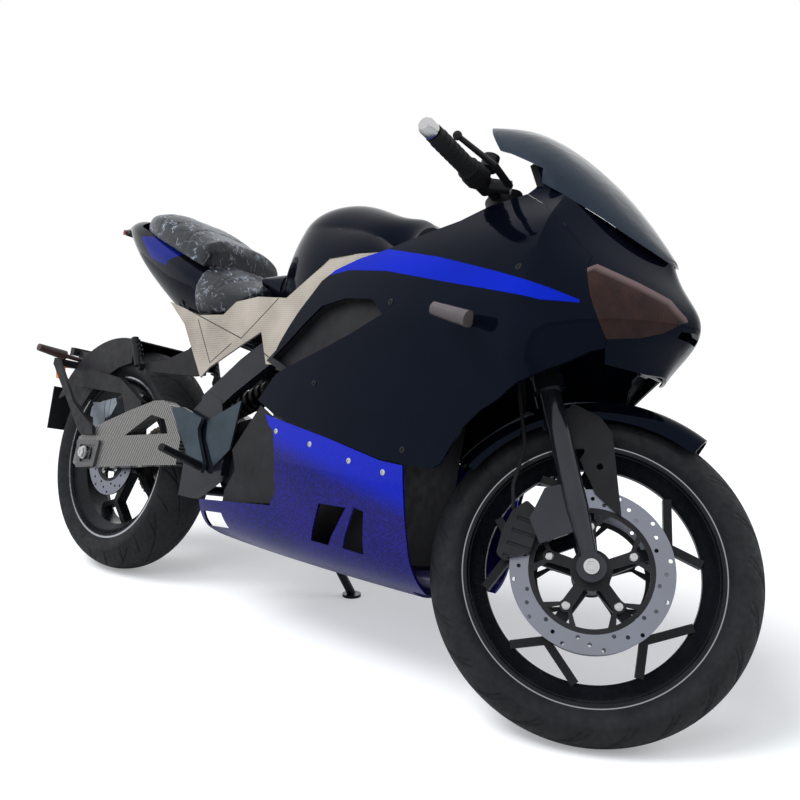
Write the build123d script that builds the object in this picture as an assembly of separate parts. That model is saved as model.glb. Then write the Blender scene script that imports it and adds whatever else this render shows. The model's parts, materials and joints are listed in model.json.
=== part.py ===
"""Electric touring motorcycle with full fairing, parked on its side stand.

Everything is modelled upright first: +X forward, +Y to the rider's left, +Z up, with x = 0 at the
rear axle and z = 0 on the ground. The front end then turns onto its left steering stop, and the
whole machine leans onto the side stand, so that both tyres and the stand's foot touch the ground.
The row frame keeps those directions, with its origin under the middle of the parked machine.
"""
from build123d import *
import math
import os

# Wheels and stance
WHEELBASE = 1460.0
LEAN = 13.0            # degrees to the left, onto the side stand
STEER_STOP = 28.0      # degrees from straight ahead to either stop
RAKE = 24.5
FORK_OFFSET = 38.0     # axle ahead of the steering axis, square to it
FRONT_RADIUS = 293.0   # 110/70-17
FRONT_WIDTH = 110.0
FRONT_CROWN = 60.0     # radius of the tread across the tyre
REAR_RADIUS = 312.0    # 160/60-17
REAR_WIDTH = 160.0
REAR_CROWN = 90.0
RIM_SEAT = 215.9       # bead seat radius of a 17 inch rim
FLANGE = 13.0          # rim flange above the bead seat
FRONT_RIM_WIDTH = 84.0
REAR_RIM_WIDTH = 126.0
RIM_WALL = 6.0
FIT = 0.3              # gap between pieces that seat on each other
RUNNING = 0.05         # gap of an axle or shaft in its bore
CLAMPED = 0.15         # gap of a part in the clamp or lug that holds it

# Front end, measured along the fork from the axle
LEG_SPACING = 100.0    # each fork leg from the middle
STANCHION_R = 20.0
OUTER_TUBE_R = 27.0
OUTER_TUBE_START = 322.0
OUTER_TUBE_END = 734.0
LOWER_YOKE = 452.0
UPPER_YOKE = 668.0
YOKE_THICK = 30.0
CLAMP_R = 38.0
STEM_R = 15.0
HEAD_TUBE_R = 30.0
FRONT_AXLE_R = 10.0
GRIP_R = 17.0
BAR_R = 11.0
BAR_STATION = 716.0    # clip-on clamp above the axle
BAR_LENGTH = 254.0     # clip-on bar, from the fork tube's middle to its end
HOSE_R = 3.5
PULLBACK = 26.0        # degrees that each bar sweeps back
DISC_OUTER = 141.0
DISC_INNER = 108.0
DISC_THICK = 4.5
DISC_PLACE = 66.0      # each front disc from the middle
CARRIER_THICK = 6.0
FRONT_BOLTS = 75.0     # radius of the front carriers' button bolts
SPOKE_TURN = 40.0      # first Y spoke, degrees below the line ahead of the axle
SPOKE_JOINT = 148.0    # where a spoke splits, from the axle

# Rear end
REAR_AXLE_R = 11.0
PIVOT_X = 455.0
PIVOT_Z = 372.0
PIVOT_R = 10.0
ARM_INNER = 106.0      # swingarm side plates, from the middle
ARM_OUTER = 142.0
STEM_HALF = 22.0       # half-width of the stem that carries the number plate
REAR_DISC_R = 110.0
REAR_DISC_PLACE = 67.0
REAR_HUB_LEFT = 70.0   # left hub face, from the middle
REAR_SPOKES = 20.0     # the rear spokes sit to the left, so the rim is deep on the right
SPROCKET_R = 92.0
CHAIN_LINE = 95.0      # chain and sprockets, to the left of the middle
CHAIN_WIDTH = 16.0
CHAIN_HEIGHT = 14.0
CHAIN_GAP = 0.6
CHAIN_CLEAR = 4.0      # room left between the chain and the hugger
MOTOR_X = 585.0
MOTOR_Z = 372.0
MOTOR_R = 98.0
MOTOR_HALF = 84.0
MOTOR_SPROCKET_R = 34.0
PLATE_INNER = 108.0    # frame plates beside the swingarm pivot
PLATE_OUTER = 132.0
BEAM_INNER = 105.0
BEAM_OUTER = 131.0
PEG_ARM = 112.0        # passenger peg arms, from the middle
BATTERY = (692.0, 1080.0, 100.0, 215.0, 640.0)   # rear, front, half-width, bottom, top

# Bodywork
SKIN = 5.0             # moulded panels are this thick
SCREEN_THICK = 3.0
BELLY_FLOOR = 186.0

TANK_FLOOR = 752.0
SEAT_FLOOR = 716.0
SEAT_REAR = 345.0      # where the rider's seat meets the pillion's
COVER_WALL = 146.0     # inner side covers, from the middle
BEAK_HALF = 24.0       # the headlights start this far from the middle
MOUTH_HALF = 38.0      # half-width of the slot under the beak
BEAK_BACK = 1545.0     # back of the solid beak
SCOOP_DEPTH = 20.0     # depth of the tray behind each fairing's notch
SCOOP_WALL = 4.0

# Side stand
STAND_PIVOT = (635.0, 122.0, 236.0)
STAND_FOOT = (668.0, 282.0)              # middle of the foot; its height follows from the ground
STAND_FOLDED = (-0.985, 0.12, -0.12)     # way the folded leg points
STAND_R = 11.0
STAND_HEAD_R = 17.0
STAND_HEAD = 15.0      # thickness of the stand's head on its pivot
STAND_FOOT_R = 24.0

DEG = math.pi / 180
AXLE_F = Vector(WHEELBASE, 0, FRONT_RADIUS)
AXLE_R = Vector(0, 0, REAR_RADIUS)
FORK_FRAME = Location((WHEELBASE, 0, FRONT_RADIUS), (0, -RAKE, 0))
STEER_AXIS = Vector(-math.sin(RAKE * DEG), 0, math.cos(RAKE * DEG))
STEER_POINT = (FORK_FRAME * Location((-FORK_OFFSET, 0, 0))).position
parts, bodies = {}, {}


# Small helpers

def add(body, name, *shapes):
    """Stores a node made of one or more separate solids, on a body."""
    solids = [s for shape in shapes for s in shape.solids()]
    parts[name] = Compound(children=solids) if len(solids) > 1 else solids[0]
    bodies.setdefault(body, []).append(name)


def both(shape):
    """A right-hand shape and its left-hand mirror image."""
    return [shape, mirror(shape, about=Plane.XZ)]


def rod(start, end, radius, end_radius=None):
    """A round bar, or a taper, between two points."""
    a, b = Vector(*start), Vector(*end)
    plane = Plane(origin=a, z_dir=b - a)
    if end_radius is None:
        return Solid.make_cylinder(radius, (b - a).length, plane)
    return Solid.make_cone(radius, end_radius, (b - a).length, plane)


def tube_path(points, radius, bends):
    """A bent tube: straight runs with an arc at each inner point."""
    path = FilletPolyline(*points, radius=bends)
    start = Plane(origin=path @ 0, z_dir=path % 0)
    return sweep(start * Circle(radius), path=path)


def turned(profile):
    """Revolves a closed (y, r) outline about the Y axis."""
    face = make_face(Polyline(*[(0, y, r) for y, r in profile], close=True))
    return revolve(face, axis=Axis.Y)


def slab(outline, y0, y1, extra=0.0, corner=0.0):
    """Extrudes a side-view (x, z) outline from y0 to y1, grown by extra, its corners rounded."""
    points = [(x, y0, z) for x, z in outline]
    line = FilletPolyline(*points, radius=corner, close=True) if corner else Polyline(*points, close=True)
    face = make_face(line)
    if extra:
        face = offset(face, amount=extra, kind=Kind.INTERSECTION)
    return extrude(face, amount=y1 - y0, dir=(0, 1, 0))


def inward(points, depth):
    """Offsets an open (w, z) line towards the middle of the machine by depth."""
    shifted = []
    for i, (w, z) in enumerate(points):
        normals = []
        for a, b in ((i - 1, i), (i, i + 1)):
            if a >= 0 and b < len(points):
                dw, dz = points[b][0] - points[a][0], points[b][1] - points[a][1]
                size = math.hypot(dw, dz)
                normals.append((-dz / size, dw / size))
        nw = sum(n[0] for n in normals) / len(normals)
        nz = sum(n[1] for n in normals) / len(normals)
        scale = depth / (nw * nw + nz * nz)
        shifted.append((w + nw * scale, z + nz * scale))
    return shifted


def arcs(points):
    """Edges along an odd-numbered list of points: an arc through each three in turn."""
    return [ThreePointArc(*three) for three in zip(points[0::2], points[1::2], points[2::2])]


def across(points):
    """Edges from a right-hand end over the middle to its mirror image on the left."""
    far = [(x, -y, z) for x, y, z in points[::-1]]
    return arcs(points) + [Line(points[-1], far[0])] + arcs(far)


def band(outer, inner):
    """A face between two lines right across the machine, each given by its right-hand half."""
    ends = [Line((x0, side * y0, z0), (x1, side * y1, z1)) for side in (-1, 1)
            for (x0, y0, z0), (x1, y1, z1) in [(outer[0], inner[0])]]
    return Face(Wire(across(outer) + across(inner) + ends))


def filled(outer):
    """A face closed straight across the machine, given by its right-hand half."""
    x, y, z = outer[0]
    return Face(Wire(across(outer) + [Line((x, y, z), (x, -y, z))]))


def trough(stations, depth=SKIN, inset=0.0):
    """A moulded panel across the machine, its outer face inset and its wall depth thick."""
    faces = []
    for x, line in stations:
        outer = [(x, -w, z) for w, z in inward(line, inset)]
        inner = [(x, -w, z) for w, z in inward(line, inset + depth)]
        faces.append(band(outer, inner))
    return loft(faces)


def box(x0, x1, y0, y1, z0, z1):
    size = (x1 - x0, y1 - y0, z1 - z0)
    middle = ((x0 + x1) / 2, (y0 + y1) / 2, (z0 + z1) / 2)
    return Location(middle) * Box(*size)


# Wheels

def tyre(radius, width, crown, rim_width):
    """A hollow tyre on its bead seats, with a round tread."""
    half = width / 2
    edge = radius - crown + math.sqrt(crown * crown - half * half)
    bead = RIM_SEAT + FIT
    toe = rim_width / 2 - RIM_WALL - FIT
    wall = 9.0
    with BuildSketch(Plane.YZ) as outline:
        with BuildLine():
            ThreePointArc((-half, edge), (0, radius), (half, edge))
            Polyline((half, edge), (half - 3, edge - 12), (toe, bead + 14), (toe, bead),
                     (toe - 13, bead), (half - wall - 9, edge - 10))
            ThreePointArc((half - wall - 9, edge - 10), (0, radius - wall),
                          (-(half - wall - 9), edge - 10))
            Polyline((-(half - wall - 9), edge - 10), (-(toe - 13), bead), (-toe, bead),
                     (-toe, bead + 14), (-(half - 3), edge - 12), (-half, edge))
        make_face()
    return revolve(outline.sketch, axis=Axis.Y)


def rim(width, well):
    """The rim barrel: flanges, bead seats and a well."""
    half = width / 2
    top = RIM_SEAT + FLANGE
    seat = half - RIM_WALL
    slope = seat - 18
    return turned([(-half, top), (-seat, top), (-seat, RIM_SEAT), (-slope, RIM_SEAT),
                   (-slope + 12, well), (slope - 12, well), (slope, RIM_SEAT), (seat, RIM_SEAT),
                   (seat, top), (half, top), (half, top - 9), (slope + 4, RIM_SEAT - RIM_WALL),
                   (slope - 10, well - RIM_WALL), (-slope + 10, well - RIM_WALL),
                   (-slope - 4, RIM_SEAT - RIM_WALL), (-half, top - 9)])


def spoke(hub, joint, inside, depth, place):
    """One Y spoke: a stem from the hub, split into a long and a short branch."""
    long_end, short_end = 25 * DEG, -14 * DEG
    stem, arm = 14.0, 7.5
    bars = [((hub - 6, 0), (joint, 0), stem, stem * 0.6),
            ((joint - 5, 0), (inside * math.cos(long_end), inside * math.sin(long_end)), arm, arm),
            ((joint - 5, 0), (inside * math.cos(short_end), inside * math.sin(short_end)), arm, arm)]
    shape = None
    for (x0, z0), (x1, z1), a, b in bars:
        size = math.hypot(x1 - x0, z1 - z0)
        nx, nz = -(z1 - z0) / size, (x1 - x0) / size
        bar = slab([(x0 + nx * a, z0 + nz * a), (x1 + nx * b, z1 + nz * b),
                    (x1 - nx * b, z1 - nz * b), (x0 - nx * a, z0 - nz * a)],
                   place - depth / 2, place + depth / 2)
        shape = bar if shape is None else shape + bar
    return shape


def cast_wheel(width, well, hub_r, hub_faces, depth, place, bore):
    """A cast wheel with five Y spokes, its bore running on the axle."""
    right, left = hub_faces
    body = rim(width, well) + rod((0, -right, 0), (0, left, 0), hub_r)
    one = spoke(hub_r, SPOKE_JOINT, well - RIM_WALL + 2, depth, place)
    for k in range(5):
        body = body + Rot(0, 72 * k + SPOKE_TURN, 0) * one
    return body - rod((0, -right - 1, 0), (0, left + 1, 0), bore)


def brake_disc(outer, inner, thick, place, holes):
    """A drilled rotor ring, holes in rows of three that step across the band."""
    ring = turned([(place - thick / 2, inner), (place + thick / 2, inner),
                   (place + thick / 2, outer), (place - thick / 2, outer)])
    drill = Rot(90, 0, 0) * Cylinder(3.6, 4 * thick)
    drills = []
    for k in range(holes):
        r = inner + (outer - inner) * (0.22 + 0.28 * (k % 3))
        a = 360.0 / holes * k * DEG
        drills.append(Location((r * math.cos(a), place, r * math.sin(a))) * drill)
    return ring - drills


def carrier(outer, bolts, hub, thick, place, bore):
    """The spider that carries a rotor: a hub, five bolt lobes and a pair of arms from each to the ring."""
    y0, y1 = place - thick / 2, place + thick / 2
    body = turned([(y0, outer - 9), (y1, outer - 9), (y1, outer - FIT), (y0, outer - FIT)])
    body = body + turned([(y0, bore), (y1, bore), (y1, hub), (y0, hub)])
    reach = outer - 5
    for k in range(5):
        arm = slab([(hub - 3, -9), (bolts, -10), (bolts, 10), (hub - 3, 9)], y0, y1)
        arm = arm + rod((bolts, y0, 0), (bolts, y1, 0), 11)
        for side in (-1, 1):
            a, b = side * 14 * DEG, side * 21 * DEG
            arm = arm + slab([(bolts, side * 3), (reach * math.cos(a), reach * math.sin(a)),
                              (reach * math.cos(b), reach * math.sin(b)), (bolts, side * 11)], y0, y1)
        body = body + Rot(0, 72 * k - 30.5, 0) * arm
    return body


def build_front_wheel():
    wheel = Location(AXLE_F)
    add("front_wheel", "front_tyre", wheel * tyre(FRONT_RADIUS, FRONT_WIDTH, FRONT_CROWN, FRONT_RIM_WIDTH))
    hub_half = DISC_PLACE - CARRIER_THICK / 2 - FIT
    casting = cast_wheel(FRONT_RIM_WIDTH, 196.0, 34.0, (hub_half, hub_half), 26.0, 0, FRONT_AXLE_R + RUNNING)
    add("front_wheel", "front_rim", wheel * casting)
    discs, spiders = [], []
    for side in (-1, 1):
        place = side * DISC_PLACE
        discs.append(wheel * brake_disc(DISC_OUTER, DISC_INNER, DISC_THICK, place, 36))
        spiders.append(wheel * carrier(DISC_INNER, FRONT_BOLTS, 36.0, CARRIER_THICK, place, FRONT_AXLE_R + 6))
    add("front_wheel", "front_brake_discs", *discs)
    add("front_wheel", "front_disc_carriers", *spiders)


def build_rear_wheel():
    wheel = Location(AXLE_R)
    add("rear_wheel", "rear_tyre", wheel * tyre(REAR_RADIUS, REAR_WIDTH, REAR_CROWN, REAR_RIM_WIDTH))
    right = REAR_DISC_PLACE - CARRIER_THICK / 2 - FIT
    casting = cast_wheel(REAR_RIM_WIDTH, 194.0, 44.0, (right, REAR_HUB_LEFT), 30.0, REAR_SPOKES,
                         REAR_AXLE_R + RUNNING)
    add("rear_wheel", "rear_rim", wheel * casting)
    bore = REAR_AXLE_R + 6
    disc = brake_disc(REAR_DISC_R, 72.0, 5.0, -REAR_DISC_PLACE, 30)
    add("rear_wheel", "rear_brake_disc", wheel * disc)
    add("rear_wheel", "rear_disc_carrier", wheel * carrier(72.0, 50.0, 30.0, CARRIER_THICK, -REAR_DISC_PLACE, bore))
    plate = sprocket(SPROCKET_R, CHAIN_LINE, 40, bore)
    for k in range(5):
        angle = 72 * k * DEG
        spot = (66 * math.cos(angle), CHAIN_LINE, 66 * math.sin(angle))
        plate = plate - Location(spot, (90, 0, 0)) * Cylinder(12, 20)
    start = REAR_HUB_LEFT + FIT
    drum = turned([(start, bore), (start, 46), (CHAIN_LINE, 46), (CHAIN_LINE, bore)])
    add("rear_wheel", "rear_sprocket", wheel * (plate + drum))


def sprocket(radius, place, teeth, bore):
    """A toothed sprocket plate."""
    outline = []
    for k in range(teeth):
        for share, r in ((0.0, radius - 6), (0.3, radius), (0.5, radius), (0.8, radius - 6)):
            a = 2 * math.pi * (k + share) / teeth
            outline.append((r * math.cos(a), r * math.sin(a)))
    plate = slab(outline, place - 3, place + 3)
    return plate - Location((0, place, 0), (90, 0, 0)) * Cylinder(bore, 20)


# Steered front end, in fork coordinates: x forward, z up the fork from the axle

def fork_axis(x, y, z):
    return (FORK_FRAME * Location((x, y, z))).position


def build_fork():
    legs, tubes = [], []
    engaged = 370.0        # top of the stanchion inside its outer tube
    for side in (-1, 1):
        y = side * LEG_SPACING
        leg = Location((0, y, (engaged + 100) / 2)) * Cylinder(STANCHION_R, engaged - 100)
        leg = leg + Location((0, y, 60)) * Cone(14, STANCHION_R, 90)
        leg = leg + rod((0, y - 17, 0), (0, y + 17, 0), 25)
        mount = [(-8, 150), (-47, 149), (-84, 102), (-76, 56), (-8, 66)]
        leg = leg + slab(mount, y - 6, y + 6)
        legs.append(leg - rod((0, y - 20, 0), (0, y + 20, 0), FRONT_AXLE_R + CLAMPED))
        middle = (OUTER_TUBE_START + OUTER_TUBE_END) / 2
        outer = Location((0, y, middle)) * Cylinder(OUTER_TUBE_R, OUTER_TUBE_END - OUTER_TUBE_START)
        collar = Location((0, y, OUTER_TUBE_START + 12)) * Cylinder(OUTER_TUBE_R + 2.5, 24)
        cap = Location((0, y, OUTER_TUBE_END + 4)) * Cylinder(15, 8)
        bore = Location((0, y, (OUTER_TUBE_START + engaged) / 2)) * Cylinder(
            STANCHION_R + CLAMPED, engaged - OUTER_TUBE_START + 20)
        tubes.append(outer + collar + cap - bore)
    add("steering", "fork_lower_legs", *[FORK_FRAME * s for s in legs])
    add("steering", "fork_outer_tubes", *[FORK_FRAME * s for s in tubes])
    end = LEG_SPACING + 17
    axle = rod((0, -end, 0), (0, end, 0), FRONT_AXLE_R)
    head = rod((0, -end - FIT - 8, 0), (0, -end - FIT, 0), 13) + rod((0, -end - 1, 0), (0, -end, 0), FRONT_AXLE_R)
    add("steering", "front_axle", FORK_FRAME * (axle + head))


def yoke(height, thick, name, stem):
    """A fork clamp: two split rings joined by a bridge round the steering stem."""
    rings = Location((0, -LEG_SPACING, height)) * Cylinder(CLAMP_R, thick)
    rings = rings + Location((0, LEG_SPACING, height)) * Cylinder(CLAMP_R, thick)
    bridge = Location((-FORK_OFFSET / 2 - 6, 0, height)) * Box(44, 2 * LEG_SPACING, thick)
    boss = Location((-FORK_OFFSET, 0, height)) * Cylinder(30, thick)
    body = rings + bridge + boss
    if stem:
        top = UPPER_YOKE - YOKE_THICK / 2 - FIT
        body = body + Location((-FORK_OFFSET, 0, (height + top) / 2)) * Cylinder(STEM_R, top - height)
    for side in (-1, 1):
        body = body - Location((0, side * LEG_SPACING, height)) * Cylinder(OUTER_TUBE_R + CLAMPED, thick + 2)
    add("steering", name, FORK_FRAME * body)


def build_handlebars():
    """Clip-on bars: a clamp on each fork tube, a bar swept back with its switches, a grip, a lever with
    its reservoir and an end weight."""
    bars, grips, ends, levers = [], [], [], []
    back = PULLBACK * DEG
    for side in (-1, 1):
        y0 = side * LEG_SPACING
        root = Vector(0, y0, BAR_STATION)
        # The bar is level with the ground, so it leans forward against the raked fork.
        level = Vector(-math.sin(back) * math.cos(RAKE * DEG), side * math.cos(back),
                       math.sin(back) * math.sin(RAKE * DEG))

        def along(distance, root=root, level=level):
            return root + level * distance

        clamp = Location(root) * Cylinder(CLAMP_R, 26) - Location(root) * Cylinder(OUTER_TUBE_R + CLAMPED, 30)
        pod = rod(along(96), along(130), 21) + rod(along(104), along(122), 24)
        bars.append(clamp + rod(along(CLAMP_R - 8), along(BAR_LENGTH), BAR_R) + pod)
        grip = rod(along(136), along(BAR_LENGTH - 4), GRIP_R) + rod(along(132), along(137), GRIP_R + 5)
        for k in range(7):
            grip = grip + rod(along(144 + 14 * k), along(150 + 14 * k), GRIP_R + 1.2)
        grips.append(grip - rod(along(131), along(BAR_LENGTH), BAR_R + CLAMPED))
        end = rod(along(BAR_LENGTH + FIT), along(BAR_LENGTH + 18), GRIP_R - 1) + rod(
            along(BAR_LENGTH + 18), along(BAR_LENGTH + 25), GRIP_R - 1, GRIP_R - 5)
        ends.append(end)
        perch = rod(along(66), along(92), 18) - rod(along(65), along(93), BAR_R + CLAMPED)
        front = Vector(math.cos(RAKE * DEG), 0, -math.sin(RAKE * DEG))
        arm = rod(along(79), along(79) + front * 52, 13)
        blade = rod(along(84) + front * 52, along(160) + front * 62, 7)
        tip = rod(along(160) + front * 62, along(250) + front * 44, 6, 5)
        knob = Location(along(250) + front * 44) * Sphere(8.5)
        clear = rod(along(40), along(120), BAR_R + CLAMPED)
        up = Vector(math.sin(RAKE * DEG), 0, math.cos(RAKE * DEG))
        foot = along(79) + up * 12
        tank = rod(foot, foot + up * 20, 8) + rod(foot + up * 20, foot + up * 48, 17)
        levers.append(perch + arm + blade + tip + knob + tank - clear)
    add("steering", "handlebars", *[FORK_FRAME * s for s in bars])
    add("steering", "grips", *[FORK_FRAME * s for s in grips])
    add("steering", "bar_end_weights", *[FORK_FRAME * s for s in ends])
    add("steering", "brake_levers", *[FORK_FRAME * s for s in levers])


def build_front_calipers():
    """Calipers behind the fork legs, straddling the discs and bolted to a lug on each leg."""
    inner, outer = 40.0, LEG_SPACING - 6 - FIT
    outline = [(-81, 137), (-61, 106), (-96, 46), (-149, 48), (-153, 58), (-135, 94), (-110, 125)]
    fins = [(-143, 52), (-131, 72), (-118, 92), (-105, 111)]
    found = []
    for side in (-1, 1):
        y0, y1 = sorted((side * inner, side * outer))
        block = slab(outline, y0, y1, corner=6)
        for x, z in fins:
            block = block - rod((x, side * (outer + 1), z), (x + 52, side * (outer + 1), z - 30), 3.2)
        slot = Location((0, side * DISC_PLACE, 0)) * (Rot(90, 0, 0) * Cylinder(DISC_OUTER + 5, DISC_THICK + 10))
        found.append(FORK_FRAME * (block - slot))
    add("steering", "front_brake_calipers", *found)


def build_brake_hoses():
    """A hose from each front caliper, up behind the leg to the lower yoke."""
    hoses = []
    for side in (-1, 1):
        route = [(-108, side * 86, 128), (-100, side * 86, 170), (-64, side * 84, 236), (-54, side * 76, 330),
                 (-42, side * 58, 400), (-40, side * 52, LOWER_YOKE - YOKE_THICK / 2 - FIT)]
        hoses.append(FORK_FRAME * tube_path(route, HOSE_R, 34))
    add("steering", "front_brake_hoses", *hoses)


def build_mudguard():
    """The front mudguard, an arched shell over the tyre, and the brackets that hold it to the legs."""
    start, end, wall = 61.0, 152.0, 4.0
    edge, side_r, shoulder, crown = 272.0, 300.0, 314.0, 321.0
    half = FRONT_WIDTH / 2 + 10
    outer = [(edge, -half, 0), (side_r, -half + 2, 0), (shoulder, -34, 0), (crown - 1, -16, 0), (crown, 0, 0)]
    inner = [(edge, -half + wall, 0), (side_r - wall, -half + 6, 0), (shoulder - wall, -33, 0),
             (crown - 1 - wall, -16, 0), (crown - wall, 0, 0)]
    edges = []
    for line in (outer, inner):
        far = [(r, -y, z) for r, y, z in line[::-1]]
        edges += arcs(line) + arcs(far)
    ends = [Line((edge, side * half, 0), (edge, side * (half - wall), 0)) for side in (-1, 1)]
    face = Face(Wire(edges + ends))
    shell = revolve(Rot(0, -start, 0) * face, axis=Axis.Y, revolution_arc=-(end - start))
    body = Location(AXLE_F) * shell
    bolt = (54, 249)
    tab = [(-30, 292), (20, 300), (66, 284), (70, 240), (38, 236), (-26, 262)]
    brackets = []
    outline = [(36, 298), (78, 261), (92, 227), (71, 77), (37, 129), (25, 192), (37, 204), (30, 292)]
    ear = [(-6, 290), (34, 290), (38, 210), (-6, 216)]
    for side in (-1, 1):
        y0, y1 = sorted((side * half, side * (half - wall)))
        body = body + FORK_FRAME * slab(tab, y0, y1)
        near, far = half + 8.5, LEG_SPACING - STANCHION_R - FIT
        y0, y1 = sorted((side * near, side * far))
        plate = slab(outline, y0, y1) + slab(ear, y0, y1)
        plate = plate - rod((56, y0 - 1, 172), (56, y1 + 1, 172), 6)
        spacer = rod((bolt[0], side * (half + FIT), bolt[1]), (bolt[0], side * (near + 1), bolt[1]), 8)
        brackets.append(FORK_FRAME * (plate + spacer))
    add("steering", "front_mudguard", body)
    add("steering", "mudguard_brackets", *brackets)


def build_steering():
    build_fork()
    yoke(LOWER_YOKE, YOKE_THICK, "lower_fork_yoke", True)
    yoke(UPPER_YOKE, YOKE_THICK * 0.7, "upper_fork_yoke", False)
    build_handlebars()
    build_front_calipers()
    build_brake_hoses()
    build_mudguard()

# Frame, drive and rear end

def plate_pair(outline, y0, y1):
    """The same side-view plate on both sides, from y0 to y1 away from the middle."""
    return [slab(outline, -y1, -y0), slab(outline, y0, y1)]


def build_frame():
    """Twin beams from the head tube down to plates round the swingarm pivot."""
    head_low = LOWER_YOKE + YOKE_THICK / 2 + 4
    head_high = UPPER_YOKE - YOKE_THICK / 2 - 4
    centre = fork_axis(-FORK_OFFSET, 0, (head_low + head_high) / 2)
    tube = Location(centre, (0, -RAKE, 0)) * Cylinder(HEAD_TUBE_R, head_high - head_low)
    bore = Location(centre, (0, -RAKE, 0)) * Cylinder(STEM_R + RUNNING, head_high - head_low + 20)
    middle = (BEAM_INNER + BEAM_OUTER) / 2
    width = BEAM_OUTER - BEAM_INNER
    stations = [  # x, middle y, middle z, width, height
        (PIVOT_X - 12, middle, 470, width, 80),
        (560, middle, 566, width, 80),
        (700, middle, 662, width, 76),
        (900, middle, 700, width, 80),
        (1080, 84, 706, 34, 84),
        (centre.X - 8, 20, centre.Z - 14, 30, 110)]
    body = tube
    for side in (-1, 1):
        rings = []
        for x, y, z, wide, high in stations:
            y0, y1 = side * y - wide / 2, side * y + wide / 2
            corners = [(x, y0, z - high / 2), (x, y1, z - high / 2), (x, y1, z + high / 2), (x, y0, z + high / 2)]
            rings.append(make_face(Polyline(*corners, close=True)))
        body = body + loft(rings, ruled=True)
    side_plate = [(415, 470), (470, 520), (520, 505), (548, 440), (566, 410), (566, 330), (520, 296),
                  (470, 262), (420, 262), (418, 330), (408, 400)]
    for plate in plate_pair(side_plate, PLATE_INNER, PLATE_OUTER):
        body = body + plate
    body = body + rod((470, -120, 284), (470, 120, 284), 12)
    body = body + rod((592, -118, 592), (592, 118, 592), 14)
    body = body + box(740, 800, -118, 118, 640, 668) + box(740, 800, -60, 60, 660, TANK_FLOOR - FIT)
    body = body + box(592 - 22, 592 + 4, -16, 16, 560, 590)
    pivot = Vector(*STAND_PIVOT)
    body = body + slab([(430, 262), (480, 262), (600, 214), (648, 204), (656, 222), (640, 242), (480, 286),
                        (430, 286)], 94, 104)
    body = body + slab([(430, 264), (480, 264), (480, 284), (430, 284)], 100, PLATE_INNER + 2)
    body = body + rod(pivot - stand_axis() * 30, pivot, 14)
    body = body - Location((PIVOT_X, 0, PIVOT_Z), (90, 0, 0)) * Cylinder(PIVOT_R + RUNNING, 300)
    add("frame", "main_frame", body - bore)
    shaft = Location((PIVOT_X, 0, PIVOT_Z), (90, 0, 0)) * Cylinder(PIVOT_R, 2 * PLATE_OUTER)
    nuts = [rod((PIVOT_X, side * (PLATE_OUTER + FIT), PIVOT_Z), (PIVOT_X, side * (PLATE_OUTER + 6), PIVOT_Z), 17)
            for side in (-1, 1)]
    add("frame", "swingarm_pivot", shaft, *nuts)


def build_drive():
    """Motor, battery and the chain to the rear wheel."""
    motor = rod((MOTOR_X, -MOTOR_HALF, MOTOR_Z), (MOTOR_X, MOTOR_HALF, MOTOR_Z), MOTOR_R)
    boss = rod((MOTOR_X, -PLATE_INNER + FIT, MOTOR_Z), (MOTOR_X, -MOTOR_HALF + 2, MOTOR_Z), 62)
    ribs = [rod((MOTOR_X, y, MOTOR_Z), (MOTOR_X, y + 5, MOTOR_Z), MOTOR_R + 5) for y in range(-70, 75, 20)]
    for rib in ribs:
        motor = motor + rib
    add("frame", "drive_motor", motor + boss)
    x0, x1, half, z0, z1 = BATTERY
    pack = chamfer(box(x0, x1, -half, half, z0, z1).edges(), 12)
    for side in (-1, 1):
        y0, y1 = sorted((side * (half - 2), side * (BEAM_INNER - FIT)))
        pack = pack + box(x0 + 30, x0 + 110, y0, y1, z1 - 60, z1 - 20)
    add("frame", "battery_pack", pack)
    small = sprocket(MOTOR_SPROCKET_R, CHAIN_LINE, 15, 4)
    collar = rod((0, MOTOR_HALF + FIT, 0), (0, CHAIN_LINE, 0), 16)
    add("frame", "drive_sprocket", Location((MOTOR_X, 0, MOTOR_Z)) * (small + collar))
    add("frame", "drive_chain", chain_loop())


def chain_line(extra):
    """The line round both sprockets, extra outside them."""
    a, b = SPROCKET_R + extra, MOTOR_SPROCKET_R + extra
    dx, dz = MOTOR_X, MOTOR_Z - REAR_RADIUS
    slope = math.atan2(dz, dx)
    swing = math.acos((a - b) / math.hypot(dx, dz))
    points = []
    for k in range(25):
        angle = slope + swing + (2 * math.pi - 2 * swing) * k / 24
        points.append((a * math.cos(angle), REAR_RADIUS + a * math.sin(angle)))
    for k in range(13):
        angle = slope - swing + 2 * swing * k / 12
        points.append((MOTOR_X + b * math.cos(angle), MOTOR_Z + b * math.sin(angle)))
    return points


def chain_loop():
    """The chain as one closed band round both sprockets."""
    y0, y1 = CHAIN_LINE - CHAIN_WIDTH / 2, CHAIN_LINE + CHAIN_WIDTH / 2
    chord = 0.3     # the sagitta of the polygon that stands for each arc
    outer = slab(chain_line(CHAIN_GAP + CHAIN_HEIGHT), y0, y1)
    return outer - slab(chain_line(CHAIN_GAP + chord), y0 - 1, y1 + 1)


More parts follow.
